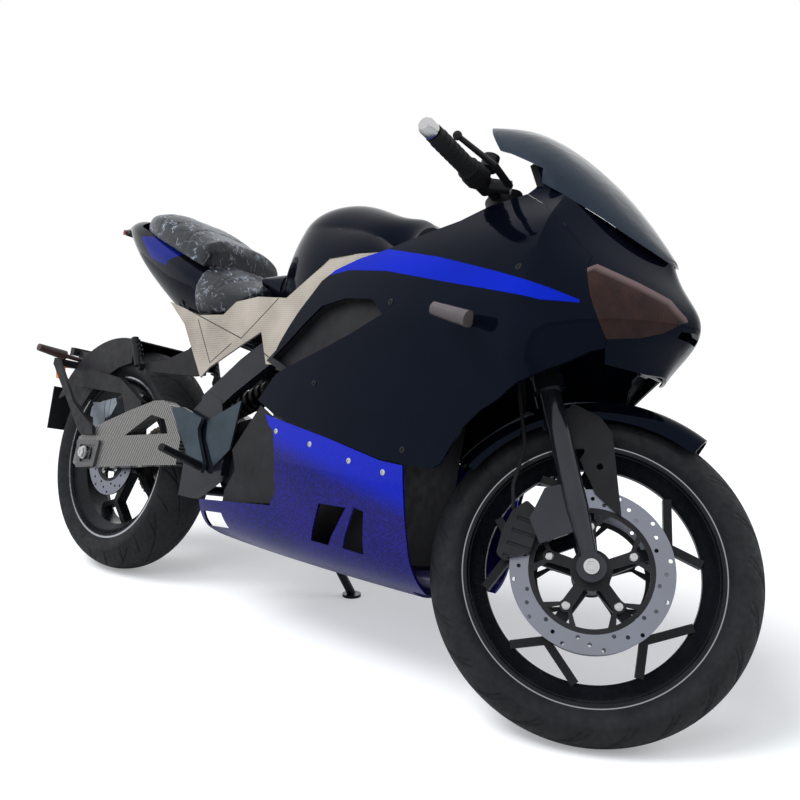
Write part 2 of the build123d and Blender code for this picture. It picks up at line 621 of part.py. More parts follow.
def build_swingarm():
    """Windowed side plates joined ahead of the wheel, with axle adjusters at the back."""
    profile = [(-62, 350), (56, 405), (157, 444), (261, 480), (303, 485), (343, 470), (402, 396), (402, 332),
               (330, 322), (66, 282), (-40, 266), (-68, 276)]
    window = [(160, 378), (262, 444), (322, 438), (346, 404)]
    body = None
    for plate, cut in zip(plate_pair(profile, ARM_INNER, ARM_OUTER), plate_pair(window, ARM_INNER - 1, ARM_OUTER + 1)):
        arm = plate - cut
        body = arm if body is None else body + arm
    body = body + box(330, 402, -ARM_INNER - 2, ARM_INNER + 2, 340, 440)
    chain_way = box(300, 420, CHAIN_LINE - 13, ARM_INNER, 386, 426)
    body = body - chain_way
    for side in (-1, 1):
        y0, y1 = sorted((side * 50, side * 80))
        lug = box(380, PIVOT_X, y0, y1, PIVOT_Z - 26, PIVOT_Z + 26)
        eye = rod((PIVOT_X, y0, PIVOT_Z), (PIVOT_X, y1, PIVOT_Z), 26)
        body = body + lug + eye
    body = body + box(352, 384, -14, 14, 436, 462)
    body = body - Location((PIVOT_X, 0, PIVOT_Z), (90, 0, 0)) * Cylinder(PIVOT_R + RUNNING, 300)
    slot = box(-18, 18, -200, 200, REAR_RADIUS - REAR_AXLE_R - RUNNING, REAR_RADIUS + REAR_AXLE_R + RUNNING)
    add("frame", "swingarm", body - slot)
    axle = rod((0, -ARM_OUTER - 8, REAR_RADIUS), (0, ARM_OUTER + 8, REAR_RADIUS), REAR_AXLE_R)
    nuts = [rod((0, side * (ARM_OUTER + 4), REAR_RADIUS), (0, side * (ARM_OUTER + 16), REAR_RADIUS), 18)
            for side in (-1, 1)]
    add("frame", "rear_axle", axle + nuts[0] + nuts[1])
    frame = [(-55, 342), (57, 353), (49, 280), (-37, 266)]
    hole = [(-33, 331), (43, 338), (34, 291), (-21, 284)]
    blocks = []
    for side in (-1, 1):
        y0, y1 = sorted((side * (ARM_OUTER + FIT), side * (ARM_OUTER + 4 - FIT)))
        block = box(-16, 16, y0, y1, REAR_RADIUS - 17, REAR_RADIUS + 17)
        blocks.append(block - rod((0, y0 - 1, REAR_RADIUS), (0, y1 + 1, REAR_RADIUS), REAR_AXLE_R + CLAMPED))
        y0, y1 = sorted((side * (ARM_OUTER + FIT), side * (ARM_OUTER + 8)))
        blocks.append(slab(frame, y0, y1, corner=5) - slab(hole, y0 - 1, y1 + 1))
    add("frame", "axle_adjusters", *blocks)
    damper = rod((368, 0, 470), (572, 0, 566), 15)
    foot = rod((368, -12, 472), (368, 12, 472), 10 - FIT)
    spring = None
    for k in range(7):
        a = Vector(368, 0, 470) + (Vector(572, 0, 566) - Vector(368, 0, 470)) * (0.2 + 0.1 * k)
        b = a + Vector(0.905, 0, 0.426) * 10
        ring = rod(a, b, 28)
        spring = ring if spring is None else spring + ring
    shock = damper + foot + spring
    shock = shock - box(340, 400, -40, 40, 400, 462 + FIT) - box(570 - FIT, 640, -40, 40, 500, 640)
    add("frame", "rear_shock", shock)


def build_rear_caliper():
    """A ribbed caliper over the rear disc, on a bracket that the axle holds."""
    slot = Location((0, -REAR_DISC_PLACE, REAR_RADIUS), (90, 0, 0)) * Cylinder(REAR_DISC_R + 4, 12)
    outline = [(-88, 412), (-88, 440), (-42, 458), (26, 474), (36, 458), (18, 426), (-26, 404)]
    block = slab(outline, -ARM_INNER + 1, -REAR_DISC_PLACE + 21, corner=5)
    for k in range(4):
        x = -70 + 24 * k
        block = block - rod((x, -ARM_INNER + 1, 470 + 5 * k), (x + 6, -ARM_INNER + 1, 400), 3)
    bracket = slab([(-84, 452), (-30, 456), (28, 330), (26, 290), (-26, 290), (-60, 380)],
                   -ARM_INNER + FIT, -ARM_INNER + 5)
    bore = rod((0, -150, REAR_RADIUS), (0, 0, REAR_RADIUS), REAR_AXLE_R + CLAMPED)
    add("frame", "rear_brake_caliper", (block - slot) + bracket - bore)


def arc_band(centre, radius, thick, half, start, end):
    """Part of a cylindrical wall about the Y axis, angles in degrees from +X over the top."""
    def at(r, degrees):
        return (centre[0] + r * math.cos(degrees * DEG), -half, centre[1] + r * math.sin(degrees * DEG))
    middle = (start + end) / 2
    inner = [at(radius, a) for a in (start, middle, end)]
    outer = [at(radius + thick, a) for a in (start, middle, end)]
    edges = [ThreePointArc(*inner), Line(inner[2], outer[2]), ThreePointArc(*outer), Line(outer[0], inner[0])]
    return extrude(Face(Wire(edges)), amount=2 * half, dir=(0, 1, 0))


def build_hugger():
    """The rear mudguard and the arm that carries the plate, the reflectors and the lights."""
    radius, wall = 330.0, 4.0
    guard = arc_band((0, REAR_RADIUS), radius, wall, 92, 82, 156)
    cheeks = [(-300, 448), (-249, 470), (-168, 434), (-130, 482), (-73, 526), (-15, 559), (48, 577), (46, 660),
              (-340, 660), (-340, 448)]
    room = Location((0, 0, REAR_RADIUS), (90, 0, 0)) * Cylinder(radius + wall, 200)
    foot = [(-190, 492), (-130, 545), (30, 530), (150, 474), (172, 420), (118, 404), (84, 440), (50, 488),
            (-110, 490)]
    for plate in plate_pair(cheeks, 88, 92):
        guard = guard + (plate & room)
    for plate in plate_pair(foot, 88, ARM_INNER - FIT):
        guard = guard + plate
    chain = slab(chain_line(CHAIN_GAP + CHAIN_HEIGHT + CHAIN_CLEAR), 80, ARM_INNER)
    add("frame", "rear_hugger", guard - chain)
    body = box(-262, -240, -ARM_OUTER - 10, ARM_OUTER + 10, 543, 563)
    strut = [(-262, 545), (-258, 562), (-240, 562), (-108, 442), (-30, 404), (12, 386), (22, 364), (-38, 358),
             (-66, 374), (-116, 420)]
    reflectors = []
    for side in (-1, 1):
        y0, y1 = sorted((side * (ARM_OUTER + FIT), side * (ARM_OUTER + 10)))
        body = body + slab(strut, y0, y1)
        y0, y1 = sorted((side * 70, side * 82))
        body = body + box(-348, -250, y0, y1, 543, 551)
        y0, y1 = sorted((side * (82 + FIT), side * 89))
        reflectors.append(slab([(-362, 543), (-322, 556), (-309, 520), (-349, 506)], y0, y1, corner=4))
    stem = slab([(-262, 543), (-240, 543), (-240, 563), (-316, 582), (-350, 606), (-362, 600), (-349, 352),
                 (-337, 352), (-330, 466)], -STEM_HALF, STEM_HALF)
    body = body + stem
    body = body - Location((0, 0, REAR_RADIUS), (90, 0, 0)) * Cylinder(radius + wall + FIT, 190)
    add("frame", "plate_bracket", body, box(-384, -362 - FIT, -40, 40, 588, 612))
    add("frame", "rear_reflectors", *reflectors)
    high, low = -362 + 13 * 118 / 248 - FIT, -349 - FIT
    add("frame", "number_plate", slab([(high, 482), (low, 352), (low - 3, 352), (high - 3, 482)], -85, 85))
    pods = []
    for side in (-1, 1):
        stalk = rod((-308, side * (STEM_HALF - 6), 572), (-302, side * 110, 578), 7)
        stalk = stalk - box(-400, -200, -STEM_HALF - FIT, STEM_HALF + FIT, 500, 650)
        pods.append(stalk + rod((-302, side * 100, 578), (-296, side * 188, 586), 15, 11))
    add("frame", "rear_signals", *pods)


def build_rear_frame():
    """Rails from the main frame that carry the seats, the tail, the side covers and the rear pegs."""
    rails = box(SEAT_REAR + FIT, SEAT_REAR + 18, -90, 90, 664, 714)
    rails = rails + box(420, 470, -100, 100, 655, SEAT_FLOOR - FIT)
    arms, pegs = [], []
    outline = [(148, 577), (248, 590), (336, 622), (352, 634), (404, 592), (419, 561), (375, 556), (170, 556)]
    for side in (-1, 1):
        rails = rails + rod((600, side * 88, 634), (SEAT_REAR + 8, side * 76, 682), 12)
        lugs = ((570, 612, 610, 650, BEAM_INNER - FIT), (440, 466, 662, 690, COVER_WALL),
                (366, 404, 572, 684, PEG_ARM - FIT))
        for x0, x1, z0, z1, far in lugs:
            y0, y1 = sorted((side * 78, side * far))
            rails = rails + box(x0, x1, y0, y1, z0, z1)
        y0, y1 = sorted((side * PEG_ARM, side * (PEG_ARM + 9)))
        arms.append(slab(outline, y0, y1, corner=4))
        wall = side * (PEG_ARM + 9 + FIT)
        foot, tip = Vector(150, wall, 566), Vector(112, wall + side * 14, 640)
        peg = rod(foot, foot + Vector(0, side * 14, 0), 11) + rod(foot + Vector(0, side * 13, 0), tip, 10)
        for k in range(4):
            spot = foot + (tip - foot) * (0.35 + 0.16 * k)
            peg = peg + rod(spot, spot + (tip - foot).normalized() * 6, 12.5)
        y0, y1 = sorted((wall, side * 60))
        pegs.append(peg - box(0, 300, y0, y1, 500, 700))
    add("frame", "rear_frame", rails)
    add("frame", "passenger_pegs", *arms, *pegs)


# Seats, tail and body panels

def solid_loft(stations):
    """A closed body across the machine. Each station is x with five (w, z) points, bottom to top."""
    return loft([filled([(x, -w, z) for w, z in line]) for x, line in stations])


def build_seats():
    rider = solid_loft([
        (SEAT_REAR, [(112, 712), (142, 770), (128, 828), (90, 852), (40, 862)]),
        (400, [(118, 706), (150, 750), (134, 804), (92, 830), (40, 840)]),
        (455, [(118, 704), (150, 740), (126, 786), (88, 808), (40, 817)]),
        (518, [(104, 704), (130, 732), (108, 766), (76, 784), (36, 790)])])
    rider = rider - box(200, 700, -200, 200, 600, SEAT_FLOOR)
    add("frame", "rider_seat", rider)
    pillion = solid_loft([
        (-34, [(30, 960), (50, 978), (50, 992), (36, 1000), (16, 1003)]),
        (40, [(80, 920), (110, 958), (100, 992), (70, 1004), (30, 1009)]),
        (140, [(100, 880), (130, 924), (118, 970), (84, 988), (34, 994)]),
        (235, [(104, 840), (134, 888), (122, 934), (86, 951), (34, 957)]),
        (SEAT_REAR - 3, [(100, 800), (130, 850), (118, 894), (84, 911), (34, 917)])])
    pillion = pillion - slab(seat_line(0) + [(400, 600), (-60, 600)], -200, 200)
    add("frame", "pillion_seat", pillion)
    tail = solid_loft([
        (-231, [(12, 976), (21, 981), (24, 988), (19, 994), (10, 997)]),
        (-120, [(46, 948), (66, 962), (68, 982), (54, 998), (24, 1005)]),
        (-40, [(62, 882), (90, 914), (98, 952), (78, 984), (30, 996)]),
        (60, [(66, 814), (102, 858), (114, 904), (92, 948), (36, 968)]),
        (160, [(66, 754), (108, 808), (122, 864), (100, 908), (40, 928)]),
        (260, [(60, 704), (106, 764), (124, 822), (102, 868), (40, 890)]),
        (SEAT_REAR, [(60, 668), (104, 730), (118, 788), (98, 836), (40, 860)])])
    tail = tail - slab(seat_line(-FIT) + [(400, 1100), (-36, 1100)], -200, 200)
    add("frame", "tail_cowl", tail - box(SEAT_REAR, 500, -200, 200, 500, 1000))
    add("frame", "tail_light", box(-246, -231 - FIT, -20, 20, 979, 993))


def seat_line(rise):
    """The slanting seam between the pillion seat and the tail, listed from the back."""
    return [(-36, 974 + rise), (400, 816 + rise)]


def build_tank():
    tank = solid_loft([
        (560, [(34, 740), (48, 785), (42, 815), (30, 831), (10, 836)]),
        (600, [(56, 740), (72, 795), (60, 852), (42, 888), (16, 905)]),
        (630, [(74, 740), (94, 820), (74, 900), (52, 938), (20, 955)]),
        (670, [(96, 740), (118, 835), (98, 922), (69, 963), (26, 981)]),
        (740, [(118, 740), (144, 845), (120, 925), (84, 976), (32, 999)]),
        (830, [(124, 740), (152, 850), (118, 918), (82, 969), (30, 992)]),
        (920, [(120, 744), (148, 846), (106, 898), (74, 946), (28, 966)]),
        (1000, [(106, 770), (127, 845), (90, 888), (62, 926), (24, 940)])])
    neck = solid_loft([
        (490, [(38, 806), (50, 814), (50, 824), (38, 832), (14, 836)]),
        (564, [(36, 760), (52, 795), (46, 825), (32, 839), (12, 843)])])
    tank = tank + (neck - box(480, 518 + FIT, -150, 150, 700, 808))
    tank = tank - box(480, 1100, -200, 200, 600, TANK_FLOOR)
    for flank in plate_pair(INNER_COVER, COVER_WALL, 200):
        tank = tank - flank
    add("frame", "tank_cover", tank)


# The fairing's outer surface: plan lines of x and half-width at rising heights, rear to front
BODY_LEVELS = [
    (410, [(690, 196), (1035, 206), (1380, 190), (1470, 128), (1516, 8)]),
    (475, [(690, 198), (1035, 210), (1380, 197), (1471, 131), (1520, 8)]),
    (540, [(690, 199), (1035, 213), (1380, 203), (1472, 134), (1526, 8)]),
    (600, [(690, 199), (1035, 216), (1380, 211), (1474, 118), (1532, 8)]),
    (660, [(690, 194), (1035, 217), (1380, 221), (1484, 132), (1548, 8)]),
    (700, [(690, 188), (1035, 217), (1380, 226), (1500, 146), (1570, 8)]),
    (740, [(690, 182), (1035, 213), (1380, 228), (1512, 146), (1594, 8)]),
    (800, [(690, 166), (1035, 204), (1380, 218), (1500, 130), (1564, 8)]),
    (850, [(690, 153), (1035, 188), (1380, 206), (1474, 110), (1534, 8)]),
    (900, [(690, 138), (1035, 164), (1380, 182), (1453, 88), (1499, 8)]),
    (965, [(690, 118), (1035, 137), (1380, 145), (1424, 70), (1450, 10)])]

# Side-view outlines, in x and z
SEAM = [(1300, 952), (1357, 920), (1404, 880), (1431, 852), (1455, 830), (1457, 805), (1471, 766), (1489, 721),
        (1498, 690), (1494, 677)]
FAIRING_REAR = [(731, 513), (752, 540), (778, 572), (808, 587), (904, 629), (984, 665), (1062, 706), (1025, 737),
                (948, 739), (879, 723), (831, 679), (796, 643), (756, 606), (769, 642), (789, 681), (809, 714),
                (834, 750), (853, 779), (887, 803), (950, 826), (1017, 842), (1093, 870), (1177, 899), (1231, 931)]
FAIRING_LOW = [(1475, 667), (1438, 640), (1406, 618), (1378, 594), (1351, 568), (1316, 544), (1285, 511),
               (1262, 472), (1248, 443), (1231, 431), (1179, 429), (1109, 431), (970, 456), (793, 486)]
NOTCH = [(808, 587), (904, 629), (984, 665), (1062, 706), (1025, 737), (948, 739), (879, 723), (831, 679),
         (796, 643), (756, 606)]
LENS = [(1457, 805), (1466, 817), (1523, 797), (1562, 780), (1584, 755), (1587, 748), (1574, 730), (1563, 718),
        (1536, 702), (1498, 690), (1489, 721), (1471, 766)]
CHIN = [(1490, 652), (1530, 650), (1552, 655), (1620, 662)]
MOUTH = [(1558, 722), (1640, 746), (1700, 746), (1700, 712), (1592, 714)]
SCREEN_EDGE = [(1212, 1050), (1240, 1040), (1326, 998), (1333, 968), (1368, 950), (1439, 911), (1492, 878),
               (1560, 838)]
INNER_COVER = [(265, 738), (343, 682), (447, 552), (475, 579), (573, 635), (641, 672), (676, 598), (756, 602),
               (775, 640), (815, 714), (856, 775), (890, 800), (955, 824), (1017, 840), (1015, 852), (908, 849),
               (822, 840), (790, 814), (706, 752), (608, 754), (532, 741), (492, 709), (400, 706)]
BELLY_SIDE = [(762, 484), (970, 454), (1109, 429), (1164, 427), (1204, 180), (1015, 180), (562, 180), (521, 205),
              (528, 268), (806, 296), (823, 328), (812, 396), (797, 452), (778, 463)]
BELLY_VENTS = [
    [(934, 246), (984, 246), (1034, 328), (958, 324)],
    [(1024, 248), (1080, 246), (1080, 328), (1054, 332)],
    [(542, 243), (622, 250), (634, 218), (532, 208)]]
LOWER_COVER = [(604, 300), (628, 350), (606, 394), (676, 504), (720, 484), (760, 436), (784, 331), (766, 296),
               (604, 274)]
PIVOT_COVER = [(488, 452), (598, 510), (588, 394), (540, 348), (494, 408)]

# The screen's and the belly pan's sections: x, then half-width and height from the edge to the middle
SCREEN_STATIONS = [
    (1100, [(112, 1088), (104, 1110), (84, 1128), (50, 1140), (10, 1145)]),
    (1215, [(130, 1036), (120, 1078), (90, 1106), (50, 1121), (10, 1127)]),
    (1290, [(146, 982), (132, 1044), (97, 1074), (52, 1088), (10, 1093)]),
    (1365, [(153, 928), (134, 990), (96, 1022), (50, 1035), (10, 1040)]),
    (1430, [(128, 880), (108, 940), (76, 965), (40, 977), (10, 981)]),
    (1490, [(90, 850), (72, 890), (50, 906), (28, 913), (8, 916)]),
    (1533, [(30, 846), (22, 855), (16, 860), (10, 863), (5, 864)])]
BELLY_STATIONS = [
    (515, [(176, 500), (168, 390), (152, 282), (112, 212), (30, 188)]),
    (700, [(196, 500), (190, 390), (174, 284), (128, 206), (30, BELLY_FLOOR)]),
    (900, [(206, 500), (202, 390), (184, 284), (138, 206), (30, BELLY_FLOOR)]),
    (1080, [(208, 500), (204, 390), (186, 284), (138, 206), (30, BELLY_FLOOR)]),
    (1225, [(206, 500), (200, 390), (180, 284), (132, 206), (30, 188)])]


def level_line(line, depth):
    """A plan line moved towards the inside by depth."""
    return inward(line[::-1], depth)[::-1]


def body_room(inset):
    """All that lies inside the fairing's outer surface, from inset below it."""
    return loft([filled([(x, -w, z) for x, w in level_line(line, inset)]) for z, line in BODY_LEVELS])


def moulded(cut, depth, inset=0.0):
    """The part of the fairing's skin inside a cutter, its outer face inset and its wall depth thick."""
    return (body_room(inset) & cut) - (body_room(inset + depth) & cut)


def ahead(outline, gap):
    """The same outline, moved forward by a gap."""
    return [(x + gap, z) for x, z in outline]


def build_fairing():
    """Side fairings with a notch each, the nose with its beak and chin, the headlights and the screen."""
    panel = moulded(slab(FAIRING_REAR + SEAM + FAIRING_LOW, -300, 0), SKIN)
    post = rod((1000, -BATTERY[2] - FIT, 600), (1000, -300, 600), 9) & body_room(SKIN / 2)
    add("frame", "side_fairings", *both(panel + post))
    top = [(x, z - FIT) for x, z in SCREEN_EDGE[:1:-1]]
    cowl = ahead(SEAM, 2 * FIT) + CHIN + [(1700, 660), (1700, 838)] + top + [(1318, 966)]
    filler = box(BEAK_BACK, 1700, -BEAK_HALF + 4, BEAK_HALF - 4, 676, 790) & body_room(SKIN / 2)
    nose = moulded(slab(cowl, -300, 300), SKIN) + filler
    nose = nose - slab(MOUTH, -MOUTH_HALF, MOUTH_HALF)
    beak = box(1300, 1700, -BEAK_HALF, BEAK_HALF, 600, 900)
    nose = nose - (slab(LENS, -300, 300) - beak)
    add("frame", "nose_fairing", nose.solids().sort_by(SortBy.VOLUME)[-1])
    wide = box(1300, 1700, -BEAK_HALF - FIT, BEAK_HALF + FIT, 600, 900)
    lens = moulded(slab(LENS, -300, 300, extra=-FIT), SKIN - 1, 0.5)
    add("frame", "headlights", lens - wide)
    over = SCREEN_EDGE + [(1560, 1200), (1120, 1200), (1130, 1150)]
    add("frame", "windscreen", trough(SCREEN_STATIONS, SCREEN_THICK) & slab(over, -300, 300))
    room = body_room(SKIN + FIT)
    tray = (room & slab(NOTCH, -300, 0, extra=14)) - Location((0, SCOOP_DEPTH, 0)) * room
    pocket = slab(NOTCH, -300, 0) - Location((0, SCOOP_DEPTH - SCOOP_WALL, 0)) * room
    add("frame", "side_scoops", *both(tray - pocket))


def build_belly():
    """The belly pan: a trough with vents, notched for the stand, on posts under the battery."""
    pan = trough(BELLY_STATIONS, -SKIN) & slab(BELLY_SIDE, -300, 300)
    pan = pan - box(1168, 1300, -118, 118, 150, 300)
    pan = pan - box(500, 700, 88, 300, 150, 330)
    for vent in BELLY_VENTS:
        for cut in plate_pair(vent, 90, 300):
            pan = pan - cut
    for x in (760, 1020):
        for y in (-60, 60):
            pan = pan + rod((x, y, BELLY_FLOOR - 2), (x, y, BATTERY[3] - FIT), 10)
    add("frame", "belly_pan", pan)


def build_covers():
    """Flat panels behind the fairing's edges and beside the battery."""
    covers = plate_pair(INNER_COVER, COVER_WALL + FIT, COVER_WALL + 5)
    add("frame", "side_covers", *covers)
    lower = []
    for side in (-1, 1):
        y0, y1 = sorted((side * 139, side * 144))
        post = rod((730, side * (BATTERY[2] + FIT), 400), (730, side * 140, 400), 9)
        lower.append(slab(LOWER_COVER, y0, y1) + post)
    add("frame", "lower_side_covers", *lower)


def build_controls():
    """Foot peg hangers and cover plates bolted to the frame plates, with the pegs."""
    hangers, pegs = [], []
    outline = [(354, 469), (397, 475), (481, 455), (472, 429), (482, 406), (518, 350), (514, 326), (464, 350),
               (389, 425)]
    wall = PLATE_OUTER + 18
    for side in (-1, 1):
        y0, y1 = sorted((side * (PLATE_OUTER + 8), side * wall))
        spacer = rod((452, side * (PLATE_OUTER + FIT), 446), (452, side * (PLATE_OUTER + 12), 446), 12)
        hangers.append(slab(outline, y0, y1, corner=3) + spacer)
        peg = rod((500, side * (wall - 20), 338), (539, side * 288, 376), 11, 9)
        pegs.append(peg - box(400, 700, -wall - FIT, wall + FIT, 200, 500))
    add("frame", "peg_hangers", *hangers, *plate_pair(PIVOT_COVER, PLATE_OUTER + FIT, PLATE_OUTER + 5))
    add("frame", "rider_pegs", *pegs)


def build_stand():
    """The side stand, parked: a head on the frame's lug, a leg and a foot flat on the ground."""
    pivot = Vector(*STAND_PIVOT)
    fx, fy = STAND_FOOT
    ground = PLACE.inverse()
    base = Vector(*ground.position)
    up = Vector(*(ground * Location((0, 0, 1))).position) - base
    fz = base.Z - ((fx - base.X) * up.X + (fy - base.Y) * up.Y) / up.Z
    foot = Vector(fx, fy, fz)
    sole = Solid.make_cylinder(STAND_FOOT_R, 7, Plane(origin=foot, z_dir=up))
    axis = stand_axis()
    head = rod(pivot + axis * FIT, pivot + axis * (FIT + STAND_HEAD), STAND_HEAD_R)
    leg = rod(pivot + axis * STAND_HEAD, foot + up * 6, STAND_R)
    add("side_stand", "side_stand", head + leg + sole)


def stand_axis():
    down = (Vector(*STAND_FOOT, 66) - Vector(*STAND_PIVOT)).normalized()
    return down.cross(Vector(*STAND_FOLDED)).normalized()


def build_lights():
    room = body_room(-FIT)
    stalk = rod((1274, -200, 690), (1278, -250, 696), 8) - room
    pod = rod((1300, -262, 692), (1226, -268, 708), 15, 12)
    add("frame", "front_signals", *both(stalk + pod))
    add("frame", "instrument_panel", Location((1290, 0, 985), (0, -28, 0)) * Box(14, 180, 110))


def build_stay():
    """The stay from the head tube that carries the nose, the screen and the instruments."""
    stay = slab([(1222, 786), (1240, 776), (1400, 830), (1506, 652), (1530, 662), (1420, 856), (1346, 850),
                 (1344, 934), (1306, 1006), (1290, 1000), (1310, 930), (1306, 838), (1216, 806)], -14, 14)
    centre = fork_axis(-FORK_OFFSET, 0, 560)
    stay = stay - Location(centre, (0, -RAKE, 0)) * Cylinder(HEAD_TUBE_R + FIT, 400)
    stay = stay - Location((1290, 0, 985), (0, -28, 0)) * Box(14 + 2 * FIT, 200, 140)
    room = body_room(SKIN + FIT)
    stay = stay + (rod((1518, -300, 661), (1518, 300, 661), 8) & room)
    stay = stay + rod((1450, 0, 745), (BEAK_BACK - FIT, 0, 745), 10)
    add("frame", "fairing_stay", stay)


PIECES = [build_front_wheel, build_rear_wheel, build_steering, build_frame, build_drive, build_swingarm,
          build_rear_caliper, build_hugger, build_rear_frame, build_seats, build_tank, build_fairing,
          build_belly, build_covers, build_controls, build_stand, build_lights, build_stay]


def lowest(centre, axis, radius, crown):
    """Height of the lowest point of a round-treaded tyre on a tilted axle."""
    return centre.Z - (radius - crown) * math.sqrt(1 - axis.Z ** 2) - crown


def settle():
    """Leans the machine and pitches it until both tyres touch the ground."""
    pitch = 0.0
    lift = 0.0
    for _ in range(8):
        place = Location((0, 0, lift)) * Location((0, 0, 0), (-LEAN, 0, 0)) * Location((0, 0, 0), (0, pitch, 0))
        front, rear = place * STEERED * Location(AXLE_F), place * Location(AXLE_R)
        heights = []
        for spot, radius, crown in ((front, FRONT_RADIUS, FRONT_CROWN), (rear, REAR_RADIUS, REAR_CROWN)):
            axle = (spot * Location((0, 1, 0))).position - spot.position
            heights.append(lowest(spot.position, axle, radius, crown))
        pitch += math.degrees((heights[0] - heights[1]) / WHEELBASE)
        lift -= heights[1]
    return place


STEERED = (Location(STEER_POINT) * Location(Plane(origin=(0, 0, 0), x_dir=(0, 1, 0), z_dir=STEER_AXIS)))
STEERED = STEERED * Location((0, 0, 0), (0, 0, STEER_STOP)) * STEERED.inverse()
PLACE = settle()


def build_all():
    """Builds all the pieces, places them and returns the whole machine's place in the row frame."""
    for piece in PIECES:
        piece()
    for body, names in bodies.items():
        place = PLACE * STEERED if body in ("steering", "front_wheel") else PLACE
        for name in names:
            parts[name] = place * parts[name]
    boxes = [shape.bounding_box() for shape in parts.values()]
    middle_x = (min(b.min.X for b in boxes) + max(b.max.X for b in boxes)) / 2
    middle_y = (min(b.min.Y for b in boxes) + max(b.max.Y for b in boxes)) / 2
    centred = Location((-middle_x, -middle_y, 0))
    for name in parts:
        parts[name] = centred * parts[name]
    return centred * PLACE


if __name__ == "__main__":
    build_all()
    os.makedirs("parts", exist_ok=True)
    for name, shape in parts.items():
        export_step(shape, f"parts/{name}.step")
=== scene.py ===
"""Looks of the electric touring motorcycle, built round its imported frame.

Places are worked out in the machine's own upright frame: x forward from the rear axle, y to the
rider's left, z up from the ground, in metres. `upright` turns such a point into the row frame, in
which the machine leans on its stand. `steered` does so for a point of the front end as it would be
with the steering straight. Side-view lines are x, z points of the upright frame in millimetres.
"""
import json
import math

import bmesh
import bpy
from mathutils import Matrix, Vector
from mathutils import noise as fractal
from mathutils.bvhtree import BVHTree


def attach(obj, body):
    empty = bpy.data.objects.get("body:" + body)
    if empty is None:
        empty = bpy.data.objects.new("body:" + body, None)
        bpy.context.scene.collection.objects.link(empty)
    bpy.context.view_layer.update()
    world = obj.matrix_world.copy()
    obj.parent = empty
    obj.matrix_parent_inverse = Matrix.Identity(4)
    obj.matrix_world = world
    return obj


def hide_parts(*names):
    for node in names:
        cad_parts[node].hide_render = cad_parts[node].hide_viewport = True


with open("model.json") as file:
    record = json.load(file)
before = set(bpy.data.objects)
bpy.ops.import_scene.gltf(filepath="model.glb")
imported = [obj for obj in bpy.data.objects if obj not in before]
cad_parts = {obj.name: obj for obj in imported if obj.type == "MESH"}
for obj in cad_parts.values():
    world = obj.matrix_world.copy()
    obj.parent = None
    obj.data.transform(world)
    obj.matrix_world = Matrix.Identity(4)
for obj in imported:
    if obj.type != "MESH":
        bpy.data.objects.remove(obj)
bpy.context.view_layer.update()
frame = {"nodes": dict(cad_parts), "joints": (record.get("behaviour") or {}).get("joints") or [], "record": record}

# Sizes of the machine that the frame doesn't state
RAKE = math.radians(24.5)        # of the steering axis, from upright
STEER = math.radians(28.0)       # from straight ahead to the left stop
FRONT_RADIUS = 0.293
REAR_RADIUS = 0.312
WHEELBASE = 1.46
BEAD_RADIUS = 0.2162
TYRE_WALL = 0.009
GROOVE_DEPTH = 0.0042
# Outer radius, width, crown radius and rim width of each tyre
FRONT_TYRE = (FRONT_RADIUS, 0.110, 0.060, 0.084)
REAR_TYRE = (REAR_RADIUS, 0.160, 0.090, 0.126)

# The chain's line, in the upright frame
SPROCKET_LINE = 0.092 + 0.0076
MOTOR_SPROCKET_LINE = 0.034 + 0.0076
MOTOR_SPROCKET_AT = (0.585, 0.372)
CHAIN_Y = 0.095
CHAIN_PITCH = 0.0159
ROLLER_RADIUS = 0.0045
PIN_RADIUS = 0.0022
LINK_THICK = 0.0016
INNER_LINK = 0.0042      # a plate's inner face from the chain's middle
OUTER_LINK = 0.0062

# The seats' padding
SEAT_VOXEL = 0.0055
SWELL_CAP = 0.006        # no point moves further
SEAM_HALF = 0.007
SEAM_DEPTH = 0.0028
WRINKLE_HEIGHT = 0.0009

# How finely pieces are divided
TREAD_STEPS = 70         # across a tyre's tread
TURN_STEPS = 840         # round a tyre
SCREW_STEPS = 24         # round a screw's head
CLOTH_FRAMES = 14        # of the seats' swelling

# The photograph's camera, in the upright frame
CAMERA_AT = Vector((2.16831, -1.42713, 0.43798))
CAMERA_LOOK = Vector((-0.64527, 0.76097, 0.06743))
CAMERA_UP = Vector((-0.08431, -0.15865, 0.98373))
CAMERA_LENS = 38.729


def upright_frame():
    """The upright frame's matrix, from the rear axle and the steering axis."""
    joints = {j["name"]: j for j in frame["joints"]}
    left = Vector(joints["rear_wheel_spin"]["axis"]).normalized()
    stem = Vector(joints["steering"]["axis"]).normalized()
    ahead = left.cross(stem).normalized()
    forward = ahead * math.cos(RAKE) - stem * math.sin(RAKE)
    up = ahead * math.sin(RAKE) + stem * math.cos(RAKE)
    origin = Vector(joints["rear_wheel_spin"]["pos_m"]) - up * REAR_RADIUS
    made = Matrix.Identity(4)
    for column, axis in enumerate((forward, left, up)):
        for row in range(3):
            made[row][column] = axis[row]
    made.translation = origin
    return made


def steered_frame():
    """Turns the upright front end onto its left stop, where it rests."""
    joint = next(j for j in frame["joints"] if j["name"] == "steering")
    pivot = Matrix.Translation(Vector(joint["pos_m"]))
    turn = Matrix.Rotation(STEER, 4, Vector(joint["axis"]).normalized())
    return pivot @ turn @ pivot.inverted() @ upright


upright = upright_frame()
steered = steered_frame()
front_wheel = steered @ Matrix.Translation((WHEELBASE, 0, FRONT_RADIUS))
rear_wheel = upright @ Matrix.Translation((0, 0, REAR_RADIUS))


# Materials

